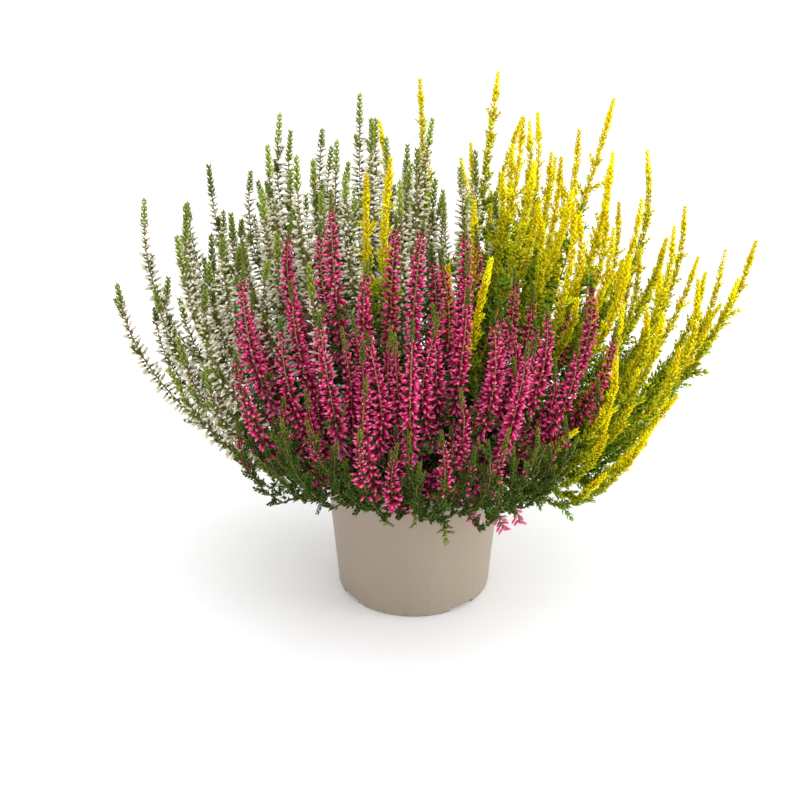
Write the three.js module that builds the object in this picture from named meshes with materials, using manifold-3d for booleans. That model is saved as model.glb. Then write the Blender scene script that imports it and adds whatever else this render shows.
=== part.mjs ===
// Potted heather: a white, a magenta and a yellow plant growing together in one tapered pot.
// Millimetres, +Z up. The origin is on the floor at the pot's axis, and the front is -Y.
import * as THREE from "three";
import { mergeVertices } from "three/addons/utils/BufferGeometryUtils.js";
import Module from "manifold-3d";

const wasm = await Module();
wasm.setup();

const MERGE_DISTANCE = 1e-4;

// Pot
const POT_HEIGHT = 95;
const POT_RIM_RADIUS = 60;
const POT_BASE_RADIUS = 51.5;
const POT_WALL = 1.3;
const POT_SEGMENTS = 26;
const BASE_CORNER = 4;
const LIP_HEIGHT = 7;
const LIP_STEP = 0.8;
const POT_COLOUR = 0xa39585;
const CHANNEL_START = 19;
const CHANNEL_HEADINGS = [-145, -55, 35, 125];
const CHANNEL_WIDTH = 13;
const CHANNEL_HEIGHT = 2.8;
const DRAIN_RADIUS = 3.2;
const DRAIN_PLACE = 37;
const DRAIN_LENGTH = 8;
const DRAIN_SIDES = 8;
const POT_ROUGHNESS = 0.6;

// Compost
const SOIL_TOP = 83;
const SOIL_EDGE = 4;
const SOIL_COLOUR = 0x33241a;
const SOIL_ROUGHNESS = 0.95;
const FIT_GAP = 0.35;
const HOLE_DEPTH = 6.5;
const HOLE_CLEARANCE = 0.75;

// Upright stems all fan out from one point on the axis, below the compost's surface.
// A stem keeps its share of the fan's widest lean, so no stem crosses another.
const FAN_HEIGHT = 30;
const FAN_LEAN_AT_RIM = 37.5;
const FAN_SPREAD = 23.5;
const SPREAD_FROM = 90;
const SPREAD_TO = 135;
const FAN_RISE = 0.1;

// Shoots of one bunch: the leader, and side shoots that leave it and fill the free room round it.
const SIDE_REACH = 0.115;
const SIDE_DIRECTIONS = 16;
const FIRST_DIRECTION = 0.13;
const LEAST_ROOM_GAIN = 1e-6;
const SIDE_FORKS = [7, 19];
const SIDE_FORK_LENGTH = 26;
const SIDE_LENGTHS = [0.94, 0.88];
const SIDE_FOOT_RADIUS = 0.5;
const SIDE_TURN = 50;

// Parts of a shoot. Each ring of its body has three corners.
const CORNERS = 3;
const CORNER_TURN = 120;
const FACE_MIDDLE = 30;
const STEM_RADIUS = 1.8;
const TWIG_RADIUS = 1.2;
const CORE_RADIUS = 2;
const STEM_STEP = 50;
const BLOOM_LENGTH = 88;
const BLOOM_STEPS = 4;
const BLOOM_NEAREST = 112;
const TIP_LENGTH = 16;
const BUD_HEIGHTS = [0.42, 0.94];
const LEAST_FULLNESS = 0.75;
const MORE_FULLNESS = 0.35;
const TIP_RADIUS = 0.5;
const TIP_BUD_RADIUS = 0.9;
const WHORL_TURN = 75;
const GOLDEN_ANGLE = 137.5;
const GOLDEN_FRACTION = 0.618034;
const FOLIAGE_ROUGHNESS = 0.8;

// Trailing shoots climb over the rim and hang down outside the pot.
const TRAIL_CREST = 99.2;
const TRAIL_FOOT = 47.5;
const TRAIL_FORK = 50.2;
const TRAIL_KNEE = 54.2;
const TRAIL_TAPER = 0.3;
const TRAIL_CLIMB = 6.9;
const TRAIL_FORK_LENGTH = 11;
const TRAIL_FAN = 13.3;
const TRAIL_LEAVES_FROM = 58;
const TRAIL_REACH = 84;
const TRAIL_REACH_MORE = 9;
const TRAIL_DROOP = 22;
const TRAIL_DROOP_LESS = 30;
const TRAIL_STEP = 20;
const TRAIL_TIP = 4;
const TRAIL_COUNT = 9;
const TRAIL_LANES = [0, -1, 1];
const TRAIL_FIRST = -90;

const PLANTS = {
  white: { colour: 0xe9e8d6, budRadius: 5.4 },
  magenta: { colour: 0xc9256d, budRadius: 5.4 },
  yellow: { colour: 0xd3d21e, budRadius: 5 },
  green: { colour: 0x4a6a26, budRadius: 3.4 },
};

// Leader of each bunch: heading in degrees from +X, lean from upright as seen from
// the fan's point, distance from that point to the tip, and the number of side shoots.
const BUNCHES = {
  white: [
    [-177, 43, 272, 2], [-157, 44, 233, 2], [-163, 31, 285, 2], [168, 36, 296, 2],
    [-152, 15, 300, 2], [170, 18, 294, 2], [144, 20, 304, 2], [152, 31, 292, 2],
    [147, 41, 280, 1], [125, 40, 275, 1], [104, 41, 265, 1], [83, 41, 262, 1],
    [126, 28, 294, 1], [103, 27, 292, 1], [120, 13, 306, 1], [170, 5, 297, 1],
    [75, 9, 290, 1],
  ],
  magenta: [
    [-138, 43, 206, 2], [-120, 42, 226, 2], [-102, 42, 226, 2], [-85, 41, 222, 2],
    [-68, 41, 216, 2], [-51, 40, 205, 2], [-136, 29, 278, 2], [-113, 31, 267, 2],
    [-91, 30, 266, 2], [-71, 29, 260, 2], [-50, 28, 246, 2], [-28, 28, 247, 2],
    [-124, 17, 294, 2], [-87, 17, 277, 2], [-55, 11, 257, 2],
  ],
  yellow: [
    [-33, 51, 212, 2], [-17, 51, 220, 2], [2, 44, 308, 2], [20, 40, 292, 2],
    [39, 41, 275, 1], [60, 42, 265, 1], [-27, 38, 262, 2], [-7, 33, 287, 2],
    [30, 27, 327, 2], [8, 24, 300, 2], [58, 28, 300, 1], [-24, 15, 293, 2],
    [53, 16, 321, 1], [15, 13, 303, 1], [88, 16, 312, 0], [-106, 10, 296, 0],
  ],
};

const UP = new THREE.Vector3(0, 0, 1);

function smoothStep(from, to, value) {
  const t = THREE.MathUtils.clamp((value - from) / (to - from), 0, 1);
  return t * t * (3 - 2 * t);
}

// Widest lean in radians at a distance from the fan's point.
function fanLean(distance) {
  const spread = FAN_SPREAD * smoothStep(SPREAD_FROM, SPREAD_TO, distance);
  const rise = FAN_RISE * Math.max(0, distance - SPREAD_TO);
  return THREE.MathUtils.degToRad(FAN_LEAN_AT_RIM + spread - rise);
}

// Point of the fan: place is the stem's share of the widest lean, laid out on its heading.
function fanPoint(place, distance) {
  const lean = place.length() * fanLean(distance);
  const heading = Math.atan2(place.y, place.x);
  const reach = distance * Math.sin(lean);
  return new THREE.Vector3(
    reach * Math.cos(heading),
    reach * Math.sin(heading),
    FAN_HEIGHT + distance * Math.cos(lean),
  );
}

function trailPoint(heading, droop, reach) {
  const run = POT_RIM_RADIUS - reach;
  const drop = run > 0 ? (run * run) / TRAIL_CLIMB : (run * run) / droop;
  return new THREE.Vector3(
    reach * Math.cos(heading),
    reach * Math.sin(heading),
    TRAIL_CREST - drop,
  );
}

// Closed body from three-sided rings. Every triangle between two rings that bears buds
// is raised to a point, so three buds stand at each of two heights between the rings.
function shootGeometry(rings) {
  const points = [];
  const faces = [];
  rings.forEach((ring, k) => {
    const before = rings[Math.max(k - 1, 0)].centre;
    const after = rings[Math.min(k + 1, rings.length - 1)].centre;
    ring.axis = after.clone().sub(before).normalize();
    const side = new THREE.Vector3().crossVectors(UP, ring.centre);
    side.addScaledVector(ring.axis, -side.dot(ring.axis)).normalize();
    ring.side = side;
    ring.front = new THREE.Vector3().crossVectors(ring.axis, side);
    for (let i = 0; i < CORNERS; i += 1) {
      points.push(ringPoint(ring, ring.turn + i * CORNER_TURN, ring.radius));
    }
  });
  faces.push([2, 1, 0]);
  for (let k = 0; k < rings.length - 1; k += 1) {
    joinRings(points, faces, rings, k);
  }
  const last = CORNERS * (rings.length - 1);
  faces.push([last, last + 1, last + 2]);
  return geometryFrom(points, faces);
}

function ringPoint(ring, degrees, radius) {
  const angle = THREE.MathUtils.degToRad(degrees);
  return ring.centre
    .clone()
    .addScaledVector(ring.side, radius * Math.cos(angle))
    .addScaledVector(ring.front, radius * Math.sin(angle));
}

function joinRings(points, faces, rings, k) {
  const lower = rings[k];
  const upper = rings[k + 1];
  const twist = upper.turn - lower.turn;
  for (let i = 0; i < CORNERS; i += 1) {
    const a = CORNERS * k + i;
    const b = CORNERS * k + ((i + 1) % CORNERS);
    const c = CORNERS * (k + 1) + i;
    const d = CORNERS * (k + 1) + ((i + 2) % CORNERS);
    const lowFace = [a, b, c];
    const highFace = [a, c, d];
    if (lower.bud > 0) {
      const middle = lower.turn + i * CORNER_TURN + twist / 2;
      const low = budPoint(lower, upper, BUD_HEIGHTS[0], middle + FACE_MIDDLE);
      const high = budPoint(lower, upper, BUD_HEIGHTS[1], middle - FACE_MIDDLE);
      raiseFace(points, faces, lowFace, low);
      raiseFace(points, faces, highFace, high);
    } else {
      faces.push(lowFace, highFace);
    }
  }
}

function budPoint(lower, upper, height, degrees) {
  const radius = THREE.MathUtils.lerp(lower.bud, upper.bud, height);
  const from = ringPoint(lower, degrees, radius);
  const to = ringPoint(upper, degrees, radius);
  return from.lerp(to, height);
}

function raiseFace(points, faces, face, point) {
  const top = points.push(point) - 1;
  const [a, b, c] = face;
  faces.push([a, b, top], [b, c, top], [c, a, top]);
}

function geometryFrom(points, faces) {
  const geometry = new THREE.BufferGeometry();
  const numbers = points.flatMap((p) => [p.x, p.y, p.z]);
  geometry.setAttribute("position", new THREE.Float32BufferAttribute(numbers, 3));
  geometry.setIndex(faces.flat());
  return geometry;
}

function solid(geometry) {
  const bare = geometry.clone();
  bare.deleteAttribute("normal");
  bare.deleteAttribute("uv");
  const merged = mergeVertices(bare, MERGE_DISTANCE);
  const mesh = new wasm.Mesh({
    numProp: 3,
    vertProperties: new Float32Array(merged.attributes.position.array),
    triVerts: new Uint32Array(merged.index.array),
  });
  return new wasm.Manifold(mesh);
}

function meshFrom(name, body, material) {
  const result = body.getMesh();
  const geometry = new THREE.BufferGeometry();
  geometry.setAttribute("position", new THREE.BufferAttribute(result.vertProperties, 3));
  geometry.setIndex(new THREE.BufferAttribute(result.triVerts, 1));
  geometry.computeVertexNormals();
  const mesh = new THREE.Mesh(geometry, material);
  mesh.name = name;
  return mesh;
}

// Distances of a bare stem's rings, with one where the fan starts to spread.
function stemPlaces(from, bloomFrom) {
  const places = from < SPREAD_FROM ? [from] : [];
  const start = Math.max(from, SPREAD_FROM);
  const steps = Math.max(1, Math.round((bloomFrom - start) / STEM_STEP));
  for (let k = 0; k < steps; k += 1) {
    places.push(THREE.MathUtils.lerp(start, bloomFrom, k / steps));
  }
  return places;
}

function tipRing(centre, turn) {
  return { centre, radius: TIP_RADIUS, turn, bud: TIP_BUD_RADIUS };
}

// Rings of a shoot along a path: bare stem first, then the length that bears buds, then the tip.
function shootRings(path, from, bloomFrom, tip, plant, turn, footRadius) {
  const rings = stemPlaces(from, bloomFrom).map((place) => ({
    centre: path(place),
    radius: THREE.MathUtils.mapLinear(place, from, bloomFrom, footRadius, TWIG_RADIUS),
    turn,
    bud: 0,
  }));
  const lastBloom = tip - TIP_LENGTH;
  const steps = Math.round((BLOOM_STEPS * (lastBloom - bloomFrom)) / BLOOM_LENGTH);
  for (let k = 0; k <= steps; k += 1) {
    const t = k / steps;
    const fullness = LEAST_FULLNESS + MORE_FULLNESS * Math.sin(Math.PI * t);
    rings.push({
      centre: path(THREE.MathUtils.lerp(bloomFrom, lastBloom, t)),
      radius: k === 0 ? TWIG_RADIUS : CORE_RADIUS * fullness,
      turn: turn + k * WHORL_TURN,
      bud: plant.budRadius * fullness,
    });
  }
  rings.push(tipRing(path(tip), turn + (steps + 1) * WHORL_TURN));
  return rings;
}

// Share of the widest lean for a tip given by its lean and distance, as a place in the fan.
function fanPlace(heading, lean, distance) {
  const share = THREE.MathUtils.degToRad(lean) / fanLean(distance);
  const angle = THREE.MathUtils.degToRad(heading);
  return new THREE.Vector2(share * Math.cos(angle), share * Math.sin(angle));
}

function listBunches() {
  const bunches = [];
  for (const [plant, leaders] of Object.entries(BUNCHES)) {
    leaders.forEach(([heading, lean, distance, sides], index) => {
      const place = fanPlace(heading, lean, distance);
      bunches.push({ plant, index, place, distance, sides, shoots: [] });
    });
  }
  return bunches;
}

// Place beside a leader, inside the fan, that is furthest from all places taken so far.
function freestPlace(leader, taken) {
  let best = null;
  let mostRoom = 0;
  for (let k = 0; k < SIDE_DIRECTIONS; k += 1) {
    const angle = ((k + FIRST_DIRECTION) / SIDE_DIRECTIONS) * 2 * Math.PI;
    const step = new THREE.Vector2(Math.cos(angle), Math.sin(angle)).multiplyScalar(SIDE_REACH);
    const place = step.add(leader);
    const room = Math.min(...taken.map((other) => other.distanceTo(place)));
    if (place.length() <= 1 && room > mostRoom + LEAST_ROOM_GAIN) {
      best = place;
      mostRoom = room;
    }
  }
  return best;
}

// First one side shoot for every bunch, then the second one.
function placeSideShoots(bunches) {
  const taken = bunches.map((bunch) => bunch.place);
  SIDE_LENGTHS.forEach((length, side) => {
    for (const bunch of bunches.filter((one) => side < one.sides)) {
      const place = freestPlace(bunch.place, taken);
      taken.push(place);
      bunch.shoots.push({ place, distance: bunch.distance * length });
    }
  });
}

// Distance along a stem, which is still straight there, at which it reaches a height.
function stemAtHeight(place, height) {
  const lean = place.length() * fanLean(SOIL_TOP - FAN_HEIGHT);
  return (height - FAN_HEIGHT) / Math.cos(lean);
}

function bloomStart(distance) {
  return Math.max(BLOOM_NEAREST, distance - TIP_LENGTH - BLOOM_LENGTH);
}

function leaderRings(bunch, turn) {
  const path = (distance) => fanPoint(bunch.place, distance);
  const plant = PLANTS[bunch.plant];
  const from = stemAtHeight(bunch.place, SOIL_TOP - HOLE_DEPTH);
  const start = bloomStart(bunch.distance);
  return shootRings(path, from, start, bunch.distance, plant, turn, STEM_RADIUS);
}

function sideRings(bunch, shoot, side, turn) {
  const fork = stemAtHeight(bunch.place, SOIL_TOP) + SIDE_FORKS[side];
  const path = (distance) => {
    const away = THREE.MathUtils.clamp((distance - fork) / SIDE_FORK_LENGTH, 0, 1);
    const place = bunch.place.clone().lerp(shoot.place, away);
    return fanPoint(place, distance);
  };
  const plant = PLANTS[bunch.plant];
  const start = bloomStart(shoot.distance);
  return shootRings(path, fork, start, shoot.distance, plant, turn, SIDE_FOOT_RADIUS);
}

function bunchSolid(bunch, leader, turn) {
  let body = solid(shootGeometry(leader));
  bunch.shoots.forEach((shoot, side) => {
    const rings = sideRings(bunch, shoot, side, turn + SIDE_TURN * (side + 1));
    body = body.add(solid(shootGeometry(rings)));
  });
  return body;
}

// A number from 0 to 1 that differs from shoot to shoot.
function variation(number) {
  return THREE.MathUtils.euclideanModulo(number * GOLDEN_FRACTION, 1);
}

// One shoot of a trailing group. The shoot in lane 0 stands in the compost, and the
// shoots in lanes -1 and 1 leave it just inside the rim.
function trailRings(index, lane) {
  const shoot = TRAIL_LANES.length * index + lane;
  const middle = TRAIL_FIRST + (360 / TRAIL_COUNT) * index;
  const tip = TRAIL_REACH + TRAIL_REACH_MORE * variation(shoot);
  const droop = TRAIL_DROOP + TRAIL_DROOP_LESS * variation(shoot + TRAIL_COUNT);
  const turn = shoot * GOLDEN_ANGLE;
  const path = (reach) => {
    const away = THREE.MathUtils.clamp((reach - TRAIL_FORK) / TRAIL_FORK_LENGTH, 0, 1);
    return trailPoint(THREE.MathUtils.degToRad(middle + lane * TRAIL_FAN * away), droop, reach);
  };
  const foot = lane === 0 ? TRAIL_FOOT : TRAIL_FORK;
  const rings = [foot, TRAIL_KNEE].map((reach) => ({
    centre: path(reach),
    radius: lane === 0 ? TWIG_RADIUS : SIDE_FOOT_RADIUS,
    turn,
    bud: 0,
  }));
  const steps = Math.round((tip - TRAIL_LEAVES_FROM) / TRAIL_STEP);
  for (let k = 0; k <= steps; k += 1) {
    const t = k / steps;
    rings.push({
      centre: path(THREE.MathUtils.lerp(TRAIL_LEAVES_FROM, tip - TRAIL_TIP, t)),
      radius: TWIG_RADIUS * (1 - TRAIL_TAPER * t),
      turn: turn + k * WHORL_TURN,
      bud: PLANTS.green.budRadius * (1 - TRAIL_TAPER * t),
    });
  }
  rings.push(tipRing(path(tip), turn + (steps + 1) * WHORL_TURN));
  return rings;
}

// Plain hole round a stem's foot, open at the compost's surface.
function holeSolid(stemRings) {
  const [foot, next] = stemRings;
  const down = foot.centre.clone().sub(next.centre).setLength(FIT_GAP);
  const low = { ...foot, centre: foot.centre.clone().add(down) };
  const rings = [low, next].map((ring) => ({
    centre: ring.centre,
    radius: foot.radius + HOLE_CLEARANCE,
    turn: foot.turn,
    bud: 0,
  }));
  return solid(shootGeometry(rings));
}

function wallRadius(height) {
  const top = POT_RIM_RADIUS - LIP_STEP;
  return POT_BASE_RADIUS + ((top - POT_BASE_RADIUS) * height) / POT_HEIGHT;
}

function turned(profile) {
  const outline = profile.map(([radius, height]) => new THREE.Vector2(radius, height));
  const geometry = new THREE.LatheGeometry(outline, POT_SEGMENTS);
  return solid(geometry.rotateX(Math.PI / 2));
}

// Bar that lies on the floor plane, from the middle of the base outwards.
function radialBar(degrees, from, to, width, low, high) {
  const bar = new THREE.BoxGeometry(to - from, width, high - low);
  bar.translate((from + to) / 2, 0, (low + high) / 2);
  bar.rotateZ(THREE.MathUtils.degToRad(degrees));
  return solid(bar);
}

function joined(solids) {
  return wasm.Manifold.union(solids);
}

// Thin pot whose base stands on pads, with four drainage channels between them that end
// as notches in the bottom edge, and a drain hole in the roof of each channel.
function potSolid() {
  const lipFrom = POT_HEIGHT - LIP_HEIGHT;
  const outside = turned([
    [0, 0],
    [wallRadius(0) - BASE_CORNER, 0],
    [wallRadius(BASE_CORNER), BASE_CORNER],
    [wallRadius(lipFrom), lipFrom],
    [POT_RIM_RADIUS, lipFrom],
    [POT_RIM_RADIUS, POT_HEIGHT],
    [0, POT_HEIGHT],
  ]);
  const inside = turned([
    [0, POT_WALL],
    [wallRadius(POT_WALL) - BASE_CORNER, POT_WALL],
    [wallRadius(BASE_CORNER) - POT_WALL, BASE_CORNER + POT_WALL],
    [wallRadius(POT_HEIGHT) - POT_WALL, POT_HEIGHT],
    [wallRadius(POT_HEIGHT) - POT_WALL, POT_HEIGHT + POT_WALL],
    [0, POT_HEIGHT + POT_WALL],
  ]);
  const past = POT_RIM_RADIUS;
  const channels = joined(CHANNEL_HEADINGS.map((heading) => (
    radialBar(heading, CHANNEL_START, past, CHANNEL_WIDTH, -POT_WALL, CHANNEL_HEIGHT)
  )));
  const roofStart = CHANNEL_START - POT_WALL;
  const roofWidth = CHANNEL_WIDTH + 2 * POT_WALL;
  const roofs = joined(CHANNEL_HEADINGS.map((heading) => (
    radialBar(heading, roofStart, past, roofWidth, 0, CHANNEL_HEIGHT + POT_WALL)
  )));
  const drains = joined(CHANNEL_HEADINGS.map((heading) => {
    const drain = new THREE.CylinderGeometry(DRAIN_RADIUS, DRAIN_RADIUS, DRAIN_LENGTH, DRAIN_SIDES);
    drain.rotateX(Math.PI / 2).translate(DRAIN_PLACE, 0, CHANNEL_HEIGHT);
    return solid(drain.rotateZ(THREE.MathUtils.degToRad(heading)));
  }));
  return outside.subtract(inside.subtract(roofs)).subtract(channels).subtract(drains);
}

// Compost fills the pot over the channel roofs, and the stems stand in plain holes in it.
function compostSolid(holes) {
  const bottom = CHANNEL_HEIGHT + POT_WALL + FIT_GAP;
  const side = (height) => wallRadius(height) - POT_WALL - FIT_GAP;
  const body = turned([
    [0, bottom],
    [side(bottom) - 1, bottom],
    [side(SOIL_TOP - SOIL_EDGE / 2), SOIL_TOP - SOIL_EDGE / 2],
    [side(SOIL_TOP) - SOIL_EDGE, SOIL_TOP],
    [0, SOIL_TOP],
  ]);
  return body.subtract(joined(holes));
}

function material(value, roughness) {
  return new THREE.MeshStandardMaterial({ color: value, roughness, metalness: 0 });
}

const group = new THREE.Group();
const holes = [];

function addBunches() {
  const bunches = listBunches();
  placeSideShoots(bunches);
  bunches.forEach((bunch, order) => {
    const turn = order * GOLDEN_ANGLE;
    const leader = leaderRings(bunch, turn);
    const name = `${bunch.plant}_bunch_${bunch.index + 1}`;
    const foliage = material(PLANTS[bunch.plant].colour, FOLIAGE_ROUGHNESS);
    holes.push(holeSolid(leader));
    group.add(meshFrom(name, bunchSolid(bunch, leader, turn), foliage));
  });
}

function addTrailingShoots() {
  for (let index = 0; index < TRAIL_COUNT; index += 1) {
    const shoots = TRAIL_LANES.map((lane) => trailRings(index, lane));
    const body = joined(shoots.map((rings) => solid(shootGeometry(rings))));
    const foliage = material(PLANTS.green.colour, FOLIAGE_ROUGHNESS);
    holes.push(holeSolid(shoots[0]));
    group.add(meshFrom(`trailing_shoots_${index + 1}`, body, foliage));
  }
}

addBunches();
addTrailingShoots();
group.add(meshFrom("compost", compostSolid(holes), material(SOIL_COLOUR, SOIL_ROUGHNESS)));
group.add(meshFrom("pot", potSolid(), material(POT_COLOUR, POT_ROUGHNESS)));

export default group;
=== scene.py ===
import math

import bmesh
import bpy
import numpy as np
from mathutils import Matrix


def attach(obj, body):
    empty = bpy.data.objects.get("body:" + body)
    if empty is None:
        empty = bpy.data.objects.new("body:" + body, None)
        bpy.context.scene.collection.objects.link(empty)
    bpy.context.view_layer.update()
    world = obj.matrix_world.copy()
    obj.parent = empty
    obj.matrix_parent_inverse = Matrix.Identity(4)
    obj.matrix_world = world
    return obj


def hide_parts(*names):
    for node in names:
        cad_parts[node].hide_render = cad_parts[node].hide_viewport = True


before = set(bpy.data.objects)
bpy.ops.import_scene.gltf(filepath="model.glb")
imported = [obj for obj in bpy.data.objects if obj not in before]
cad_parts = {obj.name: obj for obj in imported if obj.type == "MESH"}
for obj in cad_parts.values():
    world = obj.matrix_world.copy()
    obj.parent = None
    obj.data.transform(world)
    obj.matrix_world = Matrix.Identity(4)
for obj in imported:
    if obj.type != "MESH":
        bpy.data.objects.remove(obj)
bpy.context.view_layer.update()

bl_info = {
    "name": "Potted Heather",
    "version": (1, 0, 0),
    "blender": (4, 5, 0),
    "location": "View3D > Sidebar > Heather",
    "description": "White, magenta and yellow heather growing together in one tapered pot",
    "category": "Add Mesh",
}

# Lengths are in millimetres, as in the part's own source, until a piece is written.
MM = 0.001
UP = np.array([0.0, 0.0, 1.0])
SEED = 41

# Pot
POT_HEIGHT = 95
POT_RIM_RADIUS = 60
POT_BASE_RADIUS = 51.5
POT_WALL = 1.3
POT_SIDES = 128
BASE_CORNER = 0.8
LIP_HEIGHT = 7
LIP_STEP = 0.8
LIP_SLOPE = 0.6
CHANNEL_START = 19
CHANNEL_HEADINGS = (-145, -55, 35, 125)
CHANNEL_WIDTH = 13
CHANNEL_HEIGHT = 2.8
# Wide notches and small ones in the foot of the wall
NOTCH_START = 46
WIDE_HEADINGS = (-146, -50, 35, 125)
WIDE_START = 34
WIDE_WIDTH = 17
WIDE_HEIGHT = 2.8
SMALL_HEADINGS = (-127, -115, -97, -82, -72)
SMALL_WIDTH = 4.5
SMALL_HEIGHT = 1.3
DRAIN_RADIUS = 3.2
DRAIN_PLACE = 37
DRAIN_LENGTH = 8
DRAIN_SIDES = 24
EDGE_ROUNDING = 0.35

# Compost
SOIL_TOP = 83
SOIL_EDGE = 4
FIT_GAP = 0.35
SOIL_RINGS = 12
SOIL_SIDES = 60
CRUMB_HEIGHT = 2.4
CRUMB_GRAIN = 3.5
CRUMB_COUNT = 300
CRUMB_SIZES = (1, 3.2)
CRUMB_WIDTH = 0.6
CRUMB_LIFTS = (-0.3, 0.8)
CRUMB_ROUGHNESS = 0.12

# The fan that all upright stems belong to
FAN_HEIGHT = 30
FAN_LEAN_AT_RIM = 37.5
FAN_SPREAD = 23.5
SPREAD_FROM = 90
SPREAD_TO = 135
FAN_RISE = 0.1

# Shoots of one bunch
SIDE_REACH = 0.115
SIDE_DIRECTIONS = 16
FIRST_DIRECTION = 0.13
LEAST_ROOM_GAIN = 1e-6
SIDE_FORKS = (7, 19)
SIDE_FORK_LENGTH = 26
SIDE_LENGTHS = (0.94, 0.88)
HOLE_DEPTH = 6.5
GOLDEN_ANGLE = 137.5
GOLDEN_FRACTION = 0.618034

# Fine shoots that fill the room between the ones of the solids: the reach from the
# leader, the share of its length and the place of the fork for each in turn
FINE_REACH = (0.16, 0.13, 0.19, 0.22, 0.25, 0.1, 0.2)
FINE_LENGTHS = (0.92, 0.82, 0.86, 0.72, 0.78, 0.9, 0.66)
FINE_FORKS = (13, 25, 31, 10, 22, 16, 28)
FINE_WIDEST = 0.8

# Stems
LINE_STEP = 12
STEM_RADIUS = 1.5
SIDE_STEM_RADIUS = 0.9
TWIG_RADIUS = 0.4
STEM_TAPER = 0.45
STEM_END = 7
BARK_AGE_HEIGHT = 180
SWAYS = {"white": 1, "magenta": 1, "yellow": 1.5}

# How far small parts stray from their regular places on a stem: as a share of the step
# from one to the next, and in radians round the stem
STEP_STRAY = 0.8
TURN_STRAY = 0.2

# Small shapes: where a bud is widest, and for each kind of leafy twig its whorls, the
# leaves of a whorl, a leaf's length and width as shares of the twig's length, and the
# leaf's lean in degrees
BUD_WIDEST = {"white bud": 0.68, "magenta bud": 0.6}
TWIGS = {
    "short twig": (5, 2, 0.36, 0.19, 42),
    "coarse twig": (4, 2, 0.4, 0.2, 48),
    "cord twig": (7, 2, 0.25, 0.17, 43),
    "tip": (8, 4, 0.24, 0.125, 46),
    "fine tip": (9, 4, 0.22, 0.12, 44),
}
TWIG_CLOSING = 0.3
TWIG_TAPER = 0.25

# Spikes: their length, and the least distance from the fan's point at which they start
BLOOM_LENGTH = 88
BLOOM_NEAREST = 112
BUDS_NEARER = 14
BUDS_LOWER = 12

# Buds of a spike, each as places from its foot to its end and the values there: the share
# of the buds that is there, their lean in degrees, how far they hang, and their size
BUD_CHANCE = ((0, 0.16, 1), (0.25, 1, 1))
BUD_LEAN = ((0, 0.4, 1), (100, 80, 50))
BUD_HANG = ((0, 1), (0.35, 0))
BUD_SIZE = ((0, 0.12, 0.7, 1), (0.85, 1, 1, 0.6))
BUD_SIZES = (0.86, 1.1)
BUD_STRAY = 9
BRACTS = {"white": 0.7, "magenta": 0.25}
BRACT_SIZE = 0.8
BRACT_CLOSER = 14
BRACT_YOUTH = 0.4

# Leafy ends of shoots, and the sprigs beside them
TIP_LENGTH = {"white": 17, "magenta": 12, "yellow": 18}
TIP_WIDTH = {"white": 20, "magenta": 12.5, "yellow": 19}
TIP_RANGE = (0.7, 1.5)
TIP_FOOT = 2
SPRIGS = {"white": 2, "magenta": 0}
SPRIGS_FROM = 55
SPRIGS_TO = 8
SPRIG_LEAN = (16, 32)
SPRIG_LENGTHS = (0.6, 1.0)
SPRIG_WIDTH = 0.8
SPRIG_YOUTH = 0.2
SPRIG_YOUTH_MORE = 0.5

# How young the leaves at a shoot's end look, where along a shoot they begin to look
# young, and how late the leaves of the yellow plant turn from green to yellow. The light
# colours up the shoot are partly painted light, and the darker greens lower down partly
# painted shade.
FRESHNESS_AND_LIGHT = {"white": (0.35, 0.9), "magenta": (0.2, 0.6), "yellow": (0.7, 1.1)}
YOUNG_FROM = 80
YELLOWING = 1.5

# Yellow spikes: their lumps, and the size and lean of their twigs from foot to end
SPRAYS_NEARER = 20
SPRAYS_END = 14
SPRAY_LEAVES_END = 15
LUMP_LENGTH = 19
LUMP_LEAST = 0.65
LUMP_MORE = 0.5
SPRAY_SIZE = ((0, 0.5, 1), (1.7, 1.35, 0.6))
SPRAY_SIZES = (0.75, 1.2)
SPRAY_LEAN = ((0, 1), (44, 26))
SPRAY_LEAF_SIZE = 1.4

# Scale leaves on stems
LEAF_LEAN = (36, 52)
LEAF_LENGTHS = (0.85, 1.15)
OUTER_LEAF_STEP = 2.2
OUTER_LEAF_SIZE = 1.15

# Twigs on the lower stems, inside the plant and on its outside: their shape, their share
# of the usual step and length, how far they turn up, and how far they reach up the spike
TWIG_LIFT = 0.45
INNER_TWIGS = {"shape": "coarse twig", "step": 1.4, "length": 1.3, "lift": 0, "overlap": 28}
OUTER_TWIGS = {"shape": "cord twig", "step": 0.72, "length": 1, "lift": TWIG_LIFT, "overlap": 8}
TWIG_LEAN = 42
TWIG_STRAY = 8
TWIG_LENGTHS = (0.7, 1.15)
TWIG_YOUTH = 0.3
TWIGS_ABOVE_FORK = 4
TWIGS_ABOVE_SOIL = 6
TWIGS_FURTHER = 8

# Sine of the lean at the tip under which a shoot stands inside the plant
INNER_SHOOT = 0.52

# The lean in degrees at which the flowers of a shoot begin to give way to leaves, and
# the lean at which there are leaves only
LEAFY_FROM = {"white": 54, "magenta": 42.8}
LEAFY_RANGE = 6
LEAFY_SHIFT = 3

# How far a shoot that leans out at a right angle would sag below its straight way, so
# that its end stands up
BOW = 27
BOW_RANGE = (0.7, 1.3)

# A shoot that leans less than the first angle bows in full, and one that leans more than
# the second keeps only this share of its bow
BOW_LEANS = (40, 50)
LOWEST_BOW = 0.05

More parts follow.
